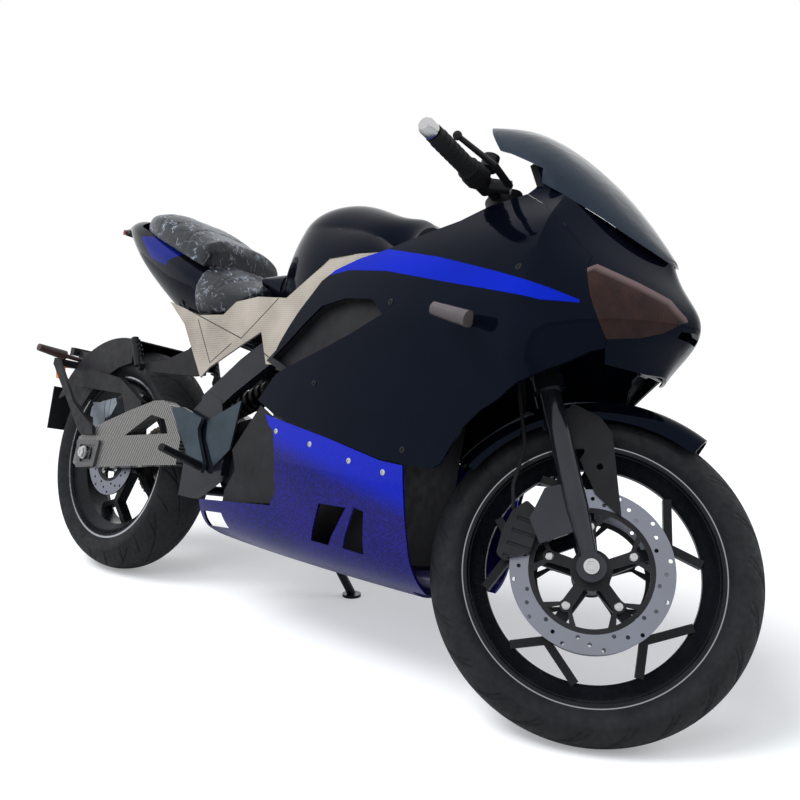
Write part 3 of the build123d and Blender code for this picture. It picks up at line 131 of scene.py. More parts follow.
def new_material(name):
    made = bpy.data.materials.new(name)
    made.use_nodes = True
    tree = made.node_tree
    tree.nodes.clear()
    out = tree.nodes.new("ShaderNodeOutputMaterial")
    shader = tree.nodes.new("ShaderNodeBsdfPrincipled")
    tree.links.new(shader.outputs[0], out.inputs[0])
    return made, tree, shader


def node(tree, kind, inputs=None, **settings):
    made = tree.nodes.new(kind)
    for key, value in settings.items():
        setattr(made, key, value)
    for key, value in (inputs or {}).items():
        if isinstance(value, bpy.types.NodeSocket):
            tree.links.new(value, made.inputs[key])
        else:
            made.inputs[key].default_value = value
    return made


def place(tree):
    """Object coordinates in metres: the row frame at rest, riding with the body."""
    return node(tree, "ShaderNodeTexCoord").outputs["Object"]


def noise(tree, scale, detail=3.0, rough=0.55, vector=None):
    sockets = {"Vector": vector or place(tree), "Scale": scale, "Detail": detail, "Roughness": rough}
    return node(tree, "ShaderNodeTexNoise", sockets).outputs["Fac"]


def ramp(tree, fac, low, high, a, b):
    """Maps fac from low..high to a..b."""
    return node(tree, "ShaderNodeMapRange", {"Value": fac, "From Min": low, "From Max": high,
                                             "To Min": a, "To Max": b}).outputs[0]


def mix_colour(tree, fac, a, b):
    made = node(tree, "ShaderNodeMix", data_type="RGBA")
    for socket, value in ((made.inputs[0], fac), (made.inputs[6], a), (made.inputs[7], b)):
        if isinstance(value, bpy.types.NodeSocket):
            tree.links.new(value, socket)
        elif isinstance(value, (int, float)):
            socket.default_value = value
        else:
            socket.default_value = (*value, 1.0)
    return made.outputs[2]


def math_node(tree, operation, *values):
    return node(tree, "ShaderNodeMath", dict(enumerate(values)), operation=operation).outputs[0]


def bump(tree, shader, height, depth, strength=1.0):
    made = node(tree, "ShaderNodeBump", {"Height": height, "Distance": depth, "Strength": strength})
    tree.links.new(made.outputs[0], shader.inputs["Normal"])


def coated(name, colour, rough, metal=0.0, grain=900.0, depth=0.00004, mottle=0.25, **sockets):
    """A moulded or painted surface: slight mottling, uneven gloss and a fine grain."""
    made, tree, shader = new_material(name)
    shader.inputs["Metallic"].default_value = metal
    shader.inputs["Specular IOR Level"].default_value = 0.2
    cloud = noise(tree, 14.0, 4.0)
    dark = [c * (1 - mottle) for c in colour]
    light = [min(1.0, c * (1 + mottle)) for c in colour]
    tone = mix_colour(tree, ramp(tree, cloud, 0.3, 0.7, 0, 1), dark, light)
    tree.links.new(tone, shader.inputs["Base Color"])
    smear = noise(tree, 45.0, 5.0)
    gloss = ramp(tree, smear, 0.3, 0.75, rough * 0.75, min(1.0, rough * 1.3))
    tree.links.new(gloss, shader.inputs["Roughness"])
    bump(tree, shader, noise(tree, grain, 2.0), depth)
    for key, value in sockets.items():
        shader.inputs[key.replace("_", " ")].default_value = value
    return made


def frame_place(tree, matrix):
    """Texture coordinates in the frame of a matrix, riding with the body."""
    back = matrix.inverted()
    return node(tree, "ShaderNodeMapping", {"Vector": place(tree), "Location": back.translation,
                                            "Rotation": back.to_euler()}).outputs[0]


def split(tree, vector):
    return node(tree, "ShaderNodeSeparateXYZ", {0: vector}).outputs


def curve_of(tree, x, points):
    """The height z of a side-view line at x, both in metres; the line's points are in millimetres."""
    low, high = points[0][0], points[-1][0]
    share = ramp(tree, x, low / 1000, high / 1000, 0, 1)
    made = node(tree, "ShaderNodeFloatCurve", {"Value": share})
    line = made.mapping.curves[0]
    spots = [((px - low) / (high - low), pz / 1000) for px, pz in points]
    line.points[0].location = spots[0]
    line.points[1].location = spots[-1]
    for spot in spots[1:-1]:
        line.points.new(*spot)
    for point in line.points:
        point.handle_type = "VECTOR"
    made.mapping.update()
    return made.outputs[0]


def between(tree, matrix, top, bottom, edge=0.0008):
    """1 where the surface lies between two side-view lines, 0 elsewhere."""
    x, _, z = split(tree, frame_place(tree, matrix))
    over = math_node(tree, "SUBTRACT", z, curve_of(tree, x, bottom))
    under = math_node(tree, "SUBTRACT", curve_of(tree, x, top), z)
    inside = math_node(tree, "MINIMUM", over, under)
    ahead = math_node(tree, "SUBTRACT", top[-1][0] / 1000, x)
    behind = math_node(tree, "SUBTRACT", x, top[0][0] / 1000)
    inside = math_node(tree, "MINIMUM", inside, math_node(tree, "MINIMUM", ahead, behind))
    return ramp(tree, inside, -edge, edge, 0, 1)


BRUSH_SCALE = (4.0, 90.0, 90.0)     # marks are drawn out along x

# The blue bands of the fairing and the tail
STRIPE_TOP = [(741, 829), (845, 841), (1016, 845), (1171, 819), (1320, 785), (1417, 760), (1463, 746)]
STRIPE_BOTTOM = [(741, 738), (843, 787), (933, 801), (1042, 795), (1189, 771), (1330, 750),
                 (1407, 738), (1463, 741)]
TAIL_TOP = [(1, 936), (70, 934), (140, 931), (251, 887)]
TAIL_BOTTOM = [(1, 936), (74, 872), (167, 845), (179, 860), (251, 887)]


def lacquer(name, matrix=None, top=None, bottom=None, base=(0.0012, 0.0018, 0.004),
            blue=(0.001, 0.011, 0.34)):
    """Deep gloss paint with slight orange peel and dust, and a band of blue between two lines."""
    made, tree, shader = new_material(name)
    colour = mix_colour(tree, ramp(tree, noise(tree, 9.0, 4.0), 0.3, 0.7, 0, 1), base,
                        tuple(c * 1.6 for c in base))
    if matrix is not None:
        shade = mix_colour(tree, ramp(tree, noise(tree, 5.0, 3.0), 0.3, 0.7, 0, 1), blue,
                           tuple(c * 1.25 for c in blue))
        colour = mix_colour(tree, between(tree, matrix, top, bottom), colour, shade)
    dust = ramp(tree, noise(tree, 380.0, 4.0), 0.68, 0.82, 0, 0.14)
    colour = mix_colour(tree, dust, colour, (0.10, 0.105, 0.12))
    tree.links.new(colour, shader.inputs["Base Color"])
    tree.links.new(ramp(tree, noise(tree, 30.0, 6.0), 0.3, 0.75, 0.03, 0.10), shader.inputs["Roughness"])
    shader.inputs["Specular Tint"].default_value = (0.45, 0.60, 1.0, 1.0)
    shader.inputs["Specular IOR Level"].default_value = 0.12
    bump(tree, shader, noise(tree, 55.0, 3.0), 0.00012, 0.6)
    return made


def flake_paint(name):
    """Deep blue paint full of fine flake, violet in places and brighter along its upper edge."""
    made, tree, shader = new_material(name)
    cells = node(tree, "ShaderNodeTexVoronoi", {"Vector": place(tree), "Scale": 750.0})
    glint = split(tree, cells.outputs["Color"])[0]
    deep = mix_colour(tree, ramp(tree, noise(tree, 7.0, 4.0), 0.35, 0.65, 0, 1), (0.005, 0.006, 0.085),
                      (0.014, 0.008, 0.12))
    colour = mix_colour(tree, ramp(tree, glint, 0.70, 0.95, 0, 1), deep, (0.014, 0.022, 0.40))
    x, _, z = split(tree, frame_place(tree, upright))
    height = math_node(tree, "ADD", z, math_node(tree, "MULTIPLY", x, 0.22))
    colour = mix_colour(tree, ramp(tree, height, 0.585, 0.625, 0, 0.85), colour, (0.001, 0.014, 0.50))
    tree.links.new(colour, shader.inputs["Base Color"])
    shader.inputs["Metallic"].default_value = 0.5
    shader.inputs["Specular IOR Level"].default_value = 0.2
    tree.links.new(ramp(tree, glint, 0.0, 1.0, 0.16, 0.38), shader.inputs["Roughness"])
    shader.inputs["Coat Weight"].default_value = 0.2
    shader.inputs["Coat Roughness"].default_value = 0.04
    bump(tree, shader, cells.outputs["Distance"], 0.00003, 0.5)
    return made


COVER_SEAMS = [((347, 719), (574, 654)), ((574, 654), (679, 750)), ((617, 644), (683, 614)),
               ((397, 694), (474, 590)), ((474, 590), (541, 640))]


def seam_mask(tree, lines, half):
    """1 along side-view lines between pairs of points in millimetres, 0 elsewhere."""
    x, _, z = split(tree, frame_place(tree, upright))
    nearest = None
    for (x0, z0), (x1, z1) in lines:
        ax, az = (x1 - x0) / 1000, (z1 - z0) / 1000
        dx = math_node(tree, "SUBTRACT", x, x0 / 1000)
        dz = math_node(tree, "SUBTRACT", z, z0 / 1000)
        dot = math_node(tree, "ADD", math_node(tree, "MULTIPLY", dx, ax),
                        math_node(tree, "MULTIPLY", dz, az))
        share = ramp(tree, dot, 0, ax * ax + az * az, 0, 1)
        ex = math_node(tree, "SUBTRACT", dx, math_node(tree, "MULTIPLY", share, ax))
        ez = math_node(tree, "SUBTRACT", dz, math_node(tree, "MULTIPLY", share, az))
        far = math_node(tree, "SQRT", math_node(tree, "ADD", math_node(tree, "MULTIPLY", ex, ex),
                                                math_node(tree, "MULTIPLY", ez, ez)))
        nearest = far if nearest is None else math_node(tree, "MINIMUM", nearest, far)
    return ramp(tree, nearest, half * 0.7, half * 1.3, 1, 0)


def weave(name, light, dark, pitch, turn, metal=0.5, rough=0.22, gloss=0.25, seams=()):
    """Woven fibre under clear lacquer: two sets of tows that cross over and under each other."""
    made, tree, shader = new_material(name)
    flat = node(tree, "ShaderNodeMapping", {"Vector": frame_place(tree, upright),
                                            "Rotation": (0, turn, 0)}).outputs[0]
    x, _, z = split(tree, flat)
    u = math_node(tree, "DIVIDE", x, pitch)
    v = math_node(tree, "DIVIDE", z, pitch)
    step = math_node(tree, "ADD", math_node(tree, "FLOOR", u), math_node(tree, "FLOOR", v))
    over = math_node(tree, "LESS_THAN", math_node(tree, "FLOORED_MODULO", step, 4.0), 1.5)
    warp = math_node(tree, "ABSOLUTE", math_node(tree, "SUBTRACT", math_node(tree, "FRACT", u), 0.5))
    weft = math_node(tree, "ABSOLUTE", math_node(tree, "SUBTRACT", math_node(tree, "FRACT", v), 0.5))
    tow = node(tree, "ShaderNodeMix", {0: over, 2: warp, 3: weft}).outputs[0]
    tone = mix_colour(tree, over, dark, light)
    strand = noise(tree, 1600.0, 2.0)
    tone = mix_colour(tree, ramp(tree, strand, 0.35, 0.7, 0, 0.45), tone, tuple(c * 0.5 for c in dark))
    shader.inputs["Specular IOR Level"].default_value = 0.3
    if seams:
        tone = mix_colour(tree, ramp(tree, noise(tree, 7.0, 3.0), 0.35, 0.65, 0, 0.5), tone,
                          tuple(min(1.0, c * 1.5) for c in light))
        tone = mix_colour(tree, seam_mask(tree, seams, 0.0013), tone, (0.012, 0.011, 0.010))
    tree.links.new(tone, shader.inputs["Base Color"])
    shader.inputs["Metallic"].default_value = metal
    tree.links.new(ramp(tree, strand, 0.2, 0.8, rough * 0.8, rough * 1.4), shader.inputs["Roughness"])
    shader.inputs["Coat Weight"].default_value = gloss
    shader.inputs["Coat Roughness"].default_value = 0.04
    bump(tree, shader, ramp(tree, tow, 0, 0.5, 1, 0), 0.0003, 0.5)
    return made


def wheel_coat(name, matrix, line_r, base=(0.004, 0.0045, 0.006), glow=(0.30, 0.31, 0.33),
               half=0.0010):
    """Gloss black casting with a thin pale ring machined at the rim's edge."""
    made, tree, shader = new_material(name)
    x, _, z = split(tree, frame_place(tree, matrix))
    far = math_node(tree, "SQRT", math_node(tree, "ADD", math_node(tree, "MULTIPLY", x, x),
                                            math_node(tree, "MULTIPLY", z, z)))
    away = math_node(tree, "ABSOLUTE", math_node(tree, "SUBTRACT", far, line_r))
    line = ramp(tree, away, half * 0.8, half * 1.2, 1, 0)
    cloud = ramp(tree, noise(tree, 18.0, 4.0), 0.35, 0.7, 0, 1)
    colour = mix_colour(tree, cloud, base, tuple(c * 1.8 for c in base))
    dust = ramp(tree, noise(tree, 260.0, 5.0), 0.62, 0.82, 0, 0.2)
    colour = mix_colour(tree, dust, colour, (0.05, 0.047, 0.044))
    tree.links.new(mix_colour(tree, line, colour, glow), shader.inputs["Base Color"])
    tree.links.new(line, shader.inputs["Metallic"])
    tree.links.new(ramp(tree, noise(tree, 60.0, 4.0), 0.3, 0.7, 0.16, 0.34), shader.inputs["Roughness"])
    shader.inputs["Specular IOR Level"].default_value = 0.2
    bump(tree, shader, noise(tree, 1100.0, 2.0), 0.00006)
    return made


def turned_steel(name, matrix, colour, rough, tint=(0.22, 0.24, 0.30)):
    """Steel with fine circular marks about an axle, and a heat tint in places."""
    made, tree, shader = new_material(name)
    x, _, z = split(tree, frame_place(tree, matrix))
    far = math_node(tree, "SQRT", math_node(tree, "ADD", math_node(tree, "MULTIPLY", x, x),
                                            math_node(tree, "MULTIPLY", z, z)))
    ring = node(tree, "ShaderNodeTexNoise", {"W": math_node(tree, "MULTIPLY", far, 2600.0), "Scale": 1.0,
                                             "Detail": 2.0}, noise_dimensions="1D").outputs["Fac"]
    tone = mix_colour(tree, ramp(tree, noise(tree, 11.0, 4.0), 0.35, 0.7, 0, 1), colour, tint)
    bright = tuple(min(1.0, c * 1.35) for c in colour)
    tone = mix_colour(tree, ramp(tree, ring, 0.3, 0.7, 0, 0.4), tone, bright)
    tree.links.new(tone, shader.inputs["Base Color"])
    shader.inputs["Metallic"].default_value = 1.0
    tree.links.new(ramp(tree, ring, 0.2, 0.8, rough * 0.7, rough * 1.3), shader.inputs["Roughness"])
    bump(tree, shader, ring, 0.00004, 0.6)
    return made


def brushed(name, colour, rough):
    """Machined metal with fine marks along the upright x axis."""
    made, tree, shader = new_material(name)
    marks = node(tree, "ShaderNodeMapping", {"Vector": frame_place(tree, upright),
                                             "Scale": BRUSH_SCALE}).outputs[0]
    streak = noise(tree, 22.0, 4.0, 0.6, marks)
    tone = mix_colour(tree, ramp(tree, streak, 0.3, 0.7, 0, 1), tuple(c * 0.72 for c in colour), colour)
    tree.links.new(tone, shader.inputs["Base Color"])
    shader.inputs["Metallic"].default_value = 1.0
    tree.links.new(ramp(tree, streak, 0.3, 0.7, rough * 0.8, rough * 1.35), shader.inputs["Roughness"])
    bump(tree, shader, streak, 0.00006, 0.7)
    return made


def wrapped(name, colour, rough=0.06, crease=0.0030):
    """Grained vinyl under a tight clear film: its creases bump the film's coat, and pale painted highlights are
    laid into the colour along them.
    """
    made, tree, shader = new_material(name)
    stretched = node(tree, "ShaderNodeMapping", {"Vector": frame_place(tree, upright),
                                                 "Scale": (1.0, 2.6, 1.4),
                                                 "Rotation": (0.2, 0.3, 0.5)}).outputs[0]
    folds = noise(tree, 12.0, 7.0, 0.6, stretched)
    ridge = math_node(tree, "ABSOLUTE", math_node(tree, "SUBTRACT", folds, 0.5))
    crest = ramp(tree, ridge, 0.0, 0.035, 1, 0)
    cells = node(tree, "ShaderNodeTexVoronoi", {"Vector": place(tree), "Scale": 620.0})
    grain = cells.outputs["Distance"]
    tone = mix_colour(tree, ramp(tree, noise(tree, 12.0, 4.0), 0.3, 0.7, 0, 1),
                      tuple(c * 0.7 for c in colour), tuple(c * 1.3 for c in colour))
    fine = ramp(tree, noise(tree, 38.0, 5.0, 0.6), 0.46, 0.6, 0, 1)
    # Painted highlight: pale grey flecks mixed into the vinyl's colour along the crests of the film's creases
    painted_crease_glints = math_node(tree, "MULTIPLY", ramp(tree, crest, 0.45, 1.0, 0, 0.75), fine)
    tone = mix_colour(tree, painted_crease_glints, tone, (0.55, 0.58, 0.62))
    tree.links.new(tone, shader.inputs["Base Color"])
    tree.links.new(ramp(tree, grain, 0.0, 0.6, 0.55, 0.4), shader.inputs["Roughness"])
    shader.inputs["Specular IOR Level"].default_value = 0.2
    shader.inputs["Coat Weight"].default_value = 0.5
    shader.inputs["Coat Tint"].default_value = (0.72, 0.84, 1.0, 1.0)
    shader.inputs["Coat Roughness"].default_value = rough
    high = math_node(tree, "ADD", folds, math_node(tree, "MULTIPLY", crest, 0.35))
    creased = node(tree, "ShaderNodeBump", {"Height": high, "Distance": crease, "Strength": 1.0})
    tree.links.new(creased.outputs[0], shader.inputs["Coat Normal"])
    bump(tree, shader, grain, 0.0002, 0.7)
    return made


def clear_plastic(name, colour, rough, weight, crinkle=0.0):
    """Tinted see-through plastic, slightly scuffed, with creases where a film covers it."""
    made, tree, shader = new_material(name)
    cloud = ramp(tree, noise(tree, 10.0, 4.0), 0.3, 0.7, 0, 1)
    tone = mix_colour(tree, cloud, colour, tuple(min(1.0, c * 1.25) for c in colour))
    tree.links.new(tone, shader.inputs["Base Color"])
    scuffs = ramp(tree, noise(tree, 70.0, 5.0), 0.3, 0.8, rough * 0.5, rough * 1.8)
    tree.links.new(scuffs, shader.inputs["Roughness"])
    shader.inputs["Transmission Weight"].default_value = weight
    shader.inputs["IOR"].default_value = 1.45
    shader.inputs["Specular IOR Level"].default_value = 0.25
    shader.inputs["Specular Tint"].default_value = (0.7, 0.8, 1.0, 1.0)
    if crinkle:
        bump(tree, shader, noise(tree, 16.0, 5.0, 0.6), crinkle, 0.8)
    else:
        bump(tree, shader, noise(tree, 120.0, 2.0), 0.00003)
    return made


LENS_TOP = [(1440, 803), (1457, 806), (1466, 818), (1523, 798), (1562, 781), (1584, 756), (1600, 745)]


def lens_coat(name):
    """Smoked lamp cover: dark red-brown, paler along its upper border."""
    made, tree, shader = new_material(name)
    x, _, z = split(tree, frame_place(tree, upright))
    drop = math_node(tree, "SUBTRACT", curve_of(tree, x, LENS_TOP), z)
    border = ramp(tree, drop, 0.007, 0.016, 1, 0)
    deep = mix_colour(tree, ramp(tree, noise(tree, 24.0, 4.0), 0.35, 0.65, 0, 1), (0.012, 0.005, 0.005),
                      (0.032, 0.013, 0.011))
    ribs = node(tree, "ShaderNodeTexWave", {"Vector": frame_place(tree, upright), "Scale": 95.0,
                                            "Distortion": 0.6}, bands_direction="X").outputs["Fac"]
    deep = mix_colour(tree, ramp(tree, ribs, 0.6, 1.0, 0, 0.3), deep, (0.045, 0.022, 0.018))
    tree.links.new(mix_colour(tree, border, deep, (0.13, 0.085, 0.085)), shader.inputs["Base Color"])
    tree.links.new(ramp(tree, noise(tree, 40.0, 4.0), 0.3, 0.8, 0.03, 0.09), shader.inputs["Roughness"])
    shader.inputs["Specular IOR Level"].default_value = 0.16
    bump(tree, shader, noise(tree, 60.0, 2.0), 0.00005)
    return made


def rubber(name, colour=(0.007, 0.0075, 0.009)):
    """Tyre rubber: nearly black, clouded, with pale dust in its pores."""
    made, tree, shader = new_material(name)
    cloud = ramp(tree, noise(tree, 16.0, 5.0), 0.35, 0.7, 0, 1)
    tone = mix_colour(tree, cloud, colour, (0.014, 0.0145, 0.016))
    dust = ramp(tree, noise(tree, 420.0, 5.0, 0.7), 0.58, 0.78, 0, 0.3)
    tone = mix_colour(tree, dust, tone, (0.045, 0.044, 0.043))
    tree.links.new(tone, shader.inputs["Base Color"])
    tree.links.new(ramp(tree, noise(tree, 90.0, 4.0), 0.3, 0.7, 0.55, 0.8), shader.inputs["Roughness"])
    shader.inputs["Specular IOR Level"].default_value = 0.3
    bump(tree, shader, noise(tree, 800.0, 3.0), 0.00018, 0.8)
    return made


MATERIALS = {
    "tyre_rubber": rubber("tyre_rubber"),
    "wheel_black": wheel_coat("wheel_black", front_wheel, 0.2275),
    "rear_wheel_black": wheel_coat("rear_wheel_black", rear_wheel, 0.2262, glow=(0.5, 0.52, 0.55),
                                   half=0.0024),
    "disc_steel": turned_steel("disc_steel", front_wheel, (0.21, 0.22, 0.255), 0.26),
    "rear_disc_steel": turned_steel("rear_disc_steel", rear_wheel, (0.21, 0.22, 0.255), 0.26),
    "carrier_black": coated("carrier_black", (0.02, 0.02, 0.022), 0.36, 0.4),
    "sprocket_steel": turned_steel("sprocket_steel", rear_wheel, (0.42, 0.40, 0.37), 0.32,
                                   (0.3, 0.26, 0.2)),
    "fork_leg": coated("fork_leg", (0.018, 0.020, 0.028), 0.18, 0.4, Coat_Weight=0.5),
    "fork_black": coated("fork_black", (0.010, 0.011, 0.014), 0.2, 0.3, Coat_Weight=0.4),
    "bright_steel": brushed("bright_steel", (0.66, 0.66, 0.67), 0.22),
    "cast_black": coated("cast_black", (0.016, 0.016, 0.018), 0.42, 0.3, grain=1500, depth=0.00012),
    "cast_grey": coated("cast_grey", (0.22, 0.245, 0.28), 0.36, 0.75, grain=1500, depth=0.0001),
    "grip_rubber": coated("grip_rubber", (0.013, 0.013, 0.014), 0.66, grain=1400, depth=0.0002),
    "matte_black": coated("matte_black", (0.015, 0.015, 0.017), 0.48, grain=1800, depth=0.00014),
    "lever_black": coated("lever_black", (0.014, 0.014, 0.016), 0.32, 0.3),
    "gloss_black": lacquer("gloss_black", upright, STRIPE_TOP, STRIPE_BOTTOM),
    "tail_paint": lacquer("tail_paint", upright, TAIL_TOP, TAIL_BOTTOM, blue=(0.001, 0.007, 0.15)),
    "plain_lacquer": lacquer("plain_lacquer"),
    "frame_black": coated("frame_black", (0.012, 0.014, 0.020), 0.22, 0.3, Coat_Weight=0.3),
    "motor_black": coated("motor_black", (0.014, 0.014, 0.017), 0.4, 0.3, grain=1300, depth=0.00012),
    "battery_black": coated("battery_black", (0.012, 0.012, 0.014), 0.45, grain=1300, depth=0.00012),
    "chain_steel": brushed("chain_steel", (0.30, 0.27, 0.23), 0.34),
    "swingarm_carbon": weave("swingarm_carbon", (0.33, 0.32, 0.305), (0.055, 0.055, 0.056), 0.0022, 0.0),
    "adjuster_silver": brushed("adjuster_silver", (0.17, 0.17, 0.18), 0.28),
    "hanger_grey": coated("hanger_grey", (0.040, 0.056, 0.070), 0.34, 0.5),
    "plate_black": coated("plate_black", (0.018, 0.018, 0.020), 0.4),
    "lamp_red": clear_plastic("lamp_red", (0.45, 0.012, 0.010), 0.06, 0.35),
    "lamp_amber": clear_plastic("lamp_amber", (0.85, 0.25, 0.02), 0.06, 0.35),
    "signal_smoke": clear_plastic("signal_smoke", (0.07, 0.045, 0.04), 0.07, 0.3),
    "signal_clear": clear_plastic("signal_clear", (0.15, 0.125, 0.125), 0.08, 0.45),
    "seat_vinyl": wrapped("seat_vinyl", (0.007, 0.008, 0.010)),
    "lens_smoked": lens_coat("lens_smoked"),
    "screen_smoke": clear_plastic("screen_smoke", (0.012, 0.022, 0.036), 0.05, 0.45, 0.0030),
    "belly_blue": flake_paint("belly_blue"),
    "cover_beige": weave("cover_beige", (0.40, 0.355, 0.30), (0.25, 0.22, 0.185), 0.0016, 0.785,
                         0.2, 0.2, seams=COVER_SEAMS),
}
# Nodes whose look differs from their slot's
OWN_COAT = {"peg_hangers": "hanger_grey", "rear_rim": "rear_wheel_black",
            "rear_brake_disc": "rear_disc_steel", "tail_cowl": "tail_paint",
            "nose_fairing": "plain_lacquer", "front_mudguard": "plain_lacquer",
            "tank_cover": "plain_lacquer"}


def rounding():
    """A modifier's node group: smooth shading that stays crisp along edges over 32 degrees."""
    tree = bpy.data.node_groups.new("rounding", "GeometryNodeTree")
    tree.interface.new_socket("Geometry", in_out="INPUT", socket_type="NodeSocketGeometry")
    tree.interface.new_socket("Geometry", in_out="OUTPUT", socket_type="NodeSocketGeometry")
    start = tree.nodes.new("NodeGroupInput")
    end = tree.nodes.new("NodeGroupOutput")
    weld = node(tree, "GeometryNodeMergeByDistance", {"Distance": 0.000002, "Geometry": start.outputs[0]})
    soft = node(tree, "GeometryNodeSetShadeSmooth", {"Geometry": weld.outputs[0], "Shade Smooth": True})
    angle = node(tree, "GeometryNodeInputMeshEdgeAngle").outputs["Unsigned Angle"]
    sharp = math_node(tree, "GREATER_THAN", angle, math.radians(32))
    crisp = node(tree, "GeometryNodeSetShadeSmooth", {"Geometry": soft.outputs[0], "Selection": sharp,
                                                      "Shade Smooth": False}, domain="EDGE")
    tree.links.new(crisp.outputs[0], end.inputs[0])
    return tree


def dress_nodes():
    """Gives each CAD node the material of its slot, and smooth shading."""
    group = rounding()
    for part in frame["record"]["subparts"]:
        made = frame["nodes"].get(part["node"])
        if made is None:
            continue
        slot = OWN_COAT.get(part["node"], part["material_slot"])
        made.data.materials.clear()
        made.data.materials.append(MATERIALS[slot])
        made.modifiers.new("rounding", "NODES").node_group = group


dress_nodes()


# Pieces

def new_piece(name, mesh, body, slot, smooth=True):
    made = bpy.data.objects.new(name, mesh)
    bpy.context.scene.collection.objects.link(made)
    mesh.materials.append(MATERIALS[slot])
    for face in mesh.polygons:
        face.use_smooth = smooth
    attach(made, body)
    return made


def tyre_line(radius, width, crown, rim_width):
    """The tyre's section as (y, r) points: the tread across the top first, then round the inside."""
    half = width / 2
    edge = radius - crown + math.sqrt(crown * crown - half * half)
    toe = rim_width / 2 - 0.0063      # inside the rim's flange
    inside = half - TYRE_WALL - 0.009
    tread = []
    for k in range(TREAD_STEPS + 1):
        y = -half + width * k / TREAD_STEPS
        tread.append((y, radius - crown + math.sqrt(crown * crown - y * y)))
    side = []
    for k in range(1, 9):
        share = k / 8
        y = half - 0.001 + (toe - half + 0.001) * share ** 1.6 + 0.0025 * math.sin(math.pi * share)
        side.append((y, edge - 0.004 + (BEAD_RADIUS + 0.008 - edge + 0.004) * share))
    inner = [(toe, BEAD_RADIUS), (toe - 0.013, BEAD_RADIUS), (inside, edge - 0.010)]
    floor = []
    for k in range(1, 6):
        y = inside * (1 - 2 * k / 6)
        arch = math.cos(math.pi / 2 * y / (half - 0.018))
        floor.append((y, edge - 0.010 + (radius - TYRE_WALL - edge + 0.010) * arch))
    back = [(-y, r) for y, r in (side + inner)[::-1]]
    return tread + side + inner + floor + back


def groove(angle, y, half, pitch, sweep, start, stop, wide, sides):
    """Depth share of the tread's grooves, which run from near the middle out to the shoulder."""
    share = abs(y) / half
    if not start < share < stop:
        return 0.0
    shift = 0.5 if (y > 0) == sides else 0.0
    lead = sweep * (share - start) ** 0.8
    turn = ((angle - lead) / pitch + shift) % 1.0
    away = min(turn, 1 - turn) * pitch
    ends = min(1.0, (share - start) / 0.06, (stop - share) / 0.06)
    return max(0.0, min(1.0, (wide * ends - away) / (wide * 0.25)))


def tyre_piece(name, node_name, body, matrix, sizes, grooves):
    width = sizes[1]
    line = tyre_line(*sizes)
    points, faces = [], []
    count = len(line)
    for step in range(TURN_STEPS):
        angle = 2 * math.pi * step / TURN_STEPS
        c, s = math.cos(angle), math.sin(angle)
        for index, (y, r) in enumerate(line):
            if index <= TREAD_STEPS:
                cut = max(groove(angle, y, width / 2, *row) for row in grooves)
                r -= GROOVE_DEPTH * cut
            points.append(matrix @ Vector((r * c, y, r * s)))
    for step in range(TURN_STEPS):
        a, b = step * count, (step + 1) % TURN_STEPS * count
        for k in range(count):
            n = (k + 1) % count
            faces.append((a + k, a + n, b + n, b + k))
    mesh = bpy.data.meshes.new(name)
    mesh.from_pydata(points, [], faces)
    mesh.update()
    made = new_piece(name, mesh, body, "tyre_rubber")
    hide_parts(node_name)


# Rows of grooves: pitch and sweep in radians, first and last share of the tyre's half-width, the
# groove's half-width in radians, and which side is shifted by half a pitch
FRONT_GROOVES = [(math.tau / 22, 0.42, 0.16, 0.93, 0.0105, True),
                 (math.tau / 22, 0.30, 0.52, 0.98, 0.0075, False)]
REAR_GROOVES = [(math.tau / 12, 0.75, 0.10, 0.90, 0.0120, True),
                (math.tau / 24, 0.26, 0.55, 0.98, 0.0080, False)]
tyre_piece("front_tyre_tread", "front_tyre", "front_wheel", front_wheel, FRONT_TYRE, FRONT_GROOVES)
tyre_piece("rear_tyre_tread", "rear_tyre", "rear_wheel", rear_wheel, REAR_TYRE, REAR_GROOVES)


def bolt_rings(radius, height, key):
    """A round-headed bolt, from its seat to its socket: rows of (radius, height, hexagonal)."""
    return [(radius, 0, False), (radius, height * 0.45, False), (radius * 0.86, height * 0.8, False),
            (radius * 0.62, height, False), (key * 1.12, height, False), (key, height * 0.94, True),
            (key * 0.96, height * 0.35, True), (0.0001, height * 0.3, False)]


def screw_set(name, body, slot, spots, radius, height, key, rings=None):
    """One piece for a set of bolts. Each spot is a point and the way out of the surface."""
    mesh = bmesh.new()
    for at, out in spots:
        turn = Vector(out).normalized().to_track_quat("Z", "Y").to_matrix()
        rows = []
        for r, h, hexed in (rings or bolt_rings)(radius, height, key):
            row = []
            for k in range(SCREW_STEPS):
                angle = math.tau * k / SCREW_STEPS
                reach = r
                if hexed:
                    reach = r / math.cos((angle % (math.tau / 6)) - math.tau / 12)
                spot = turn @ Vector((reach * math.cos(angle), reach * math.sin(angle), h)) + Vector(at)
                row.append(mesh.verts.new(spot))
            rows.append(row)
        for low, high in zip(rows, rows[1:]):
            for k in range(SCREW_STEPS):
                n = (k + 1) % SCREW_STEPS
                mesh.faces.new((low[k], low[n], high[n], high[k]))
        mesh.faces.new(rows[0][::-1])
        mesh.faces.new(rows[-1])
    made = bpy.data.meshes.new(name)
    mesh.to_mesh(made)
    mesh.free()
    piece = new_piece(name, made, body, slot)
    piece.modifiers.new("rounding", "NODES").node_group = bpy.data.node_groups["rounding"]


def hex_rings(radius, height, key):
    """A hexagon head on a washer."""
    return [(radius, 0, False), (radius, height * 0.25, False), (radius * 0.98, height * 0.27, False),
            (key, height * 0.28, True), (key, height * 0.9, True), (key * 0.93, height, True),
            (key * 0.5, height, False), (key * 0.45, height * 0.8, False), (0.0001, height * 0.78, False)]


def axle_ends(node_name, matrix):
    """The spots at an axle's two ends, right and left."""
    back = matrix.inverted()
    across = [(back @ v.co).y for v in frame["nodes"][node_name].data.vertices]
    return [(matrix @ Vector((0, y, 0)), matrix.to_3x3() @ Vector((0, side, 0)))
            for side, y in ((-1, min(across)), (1, max(across)))]


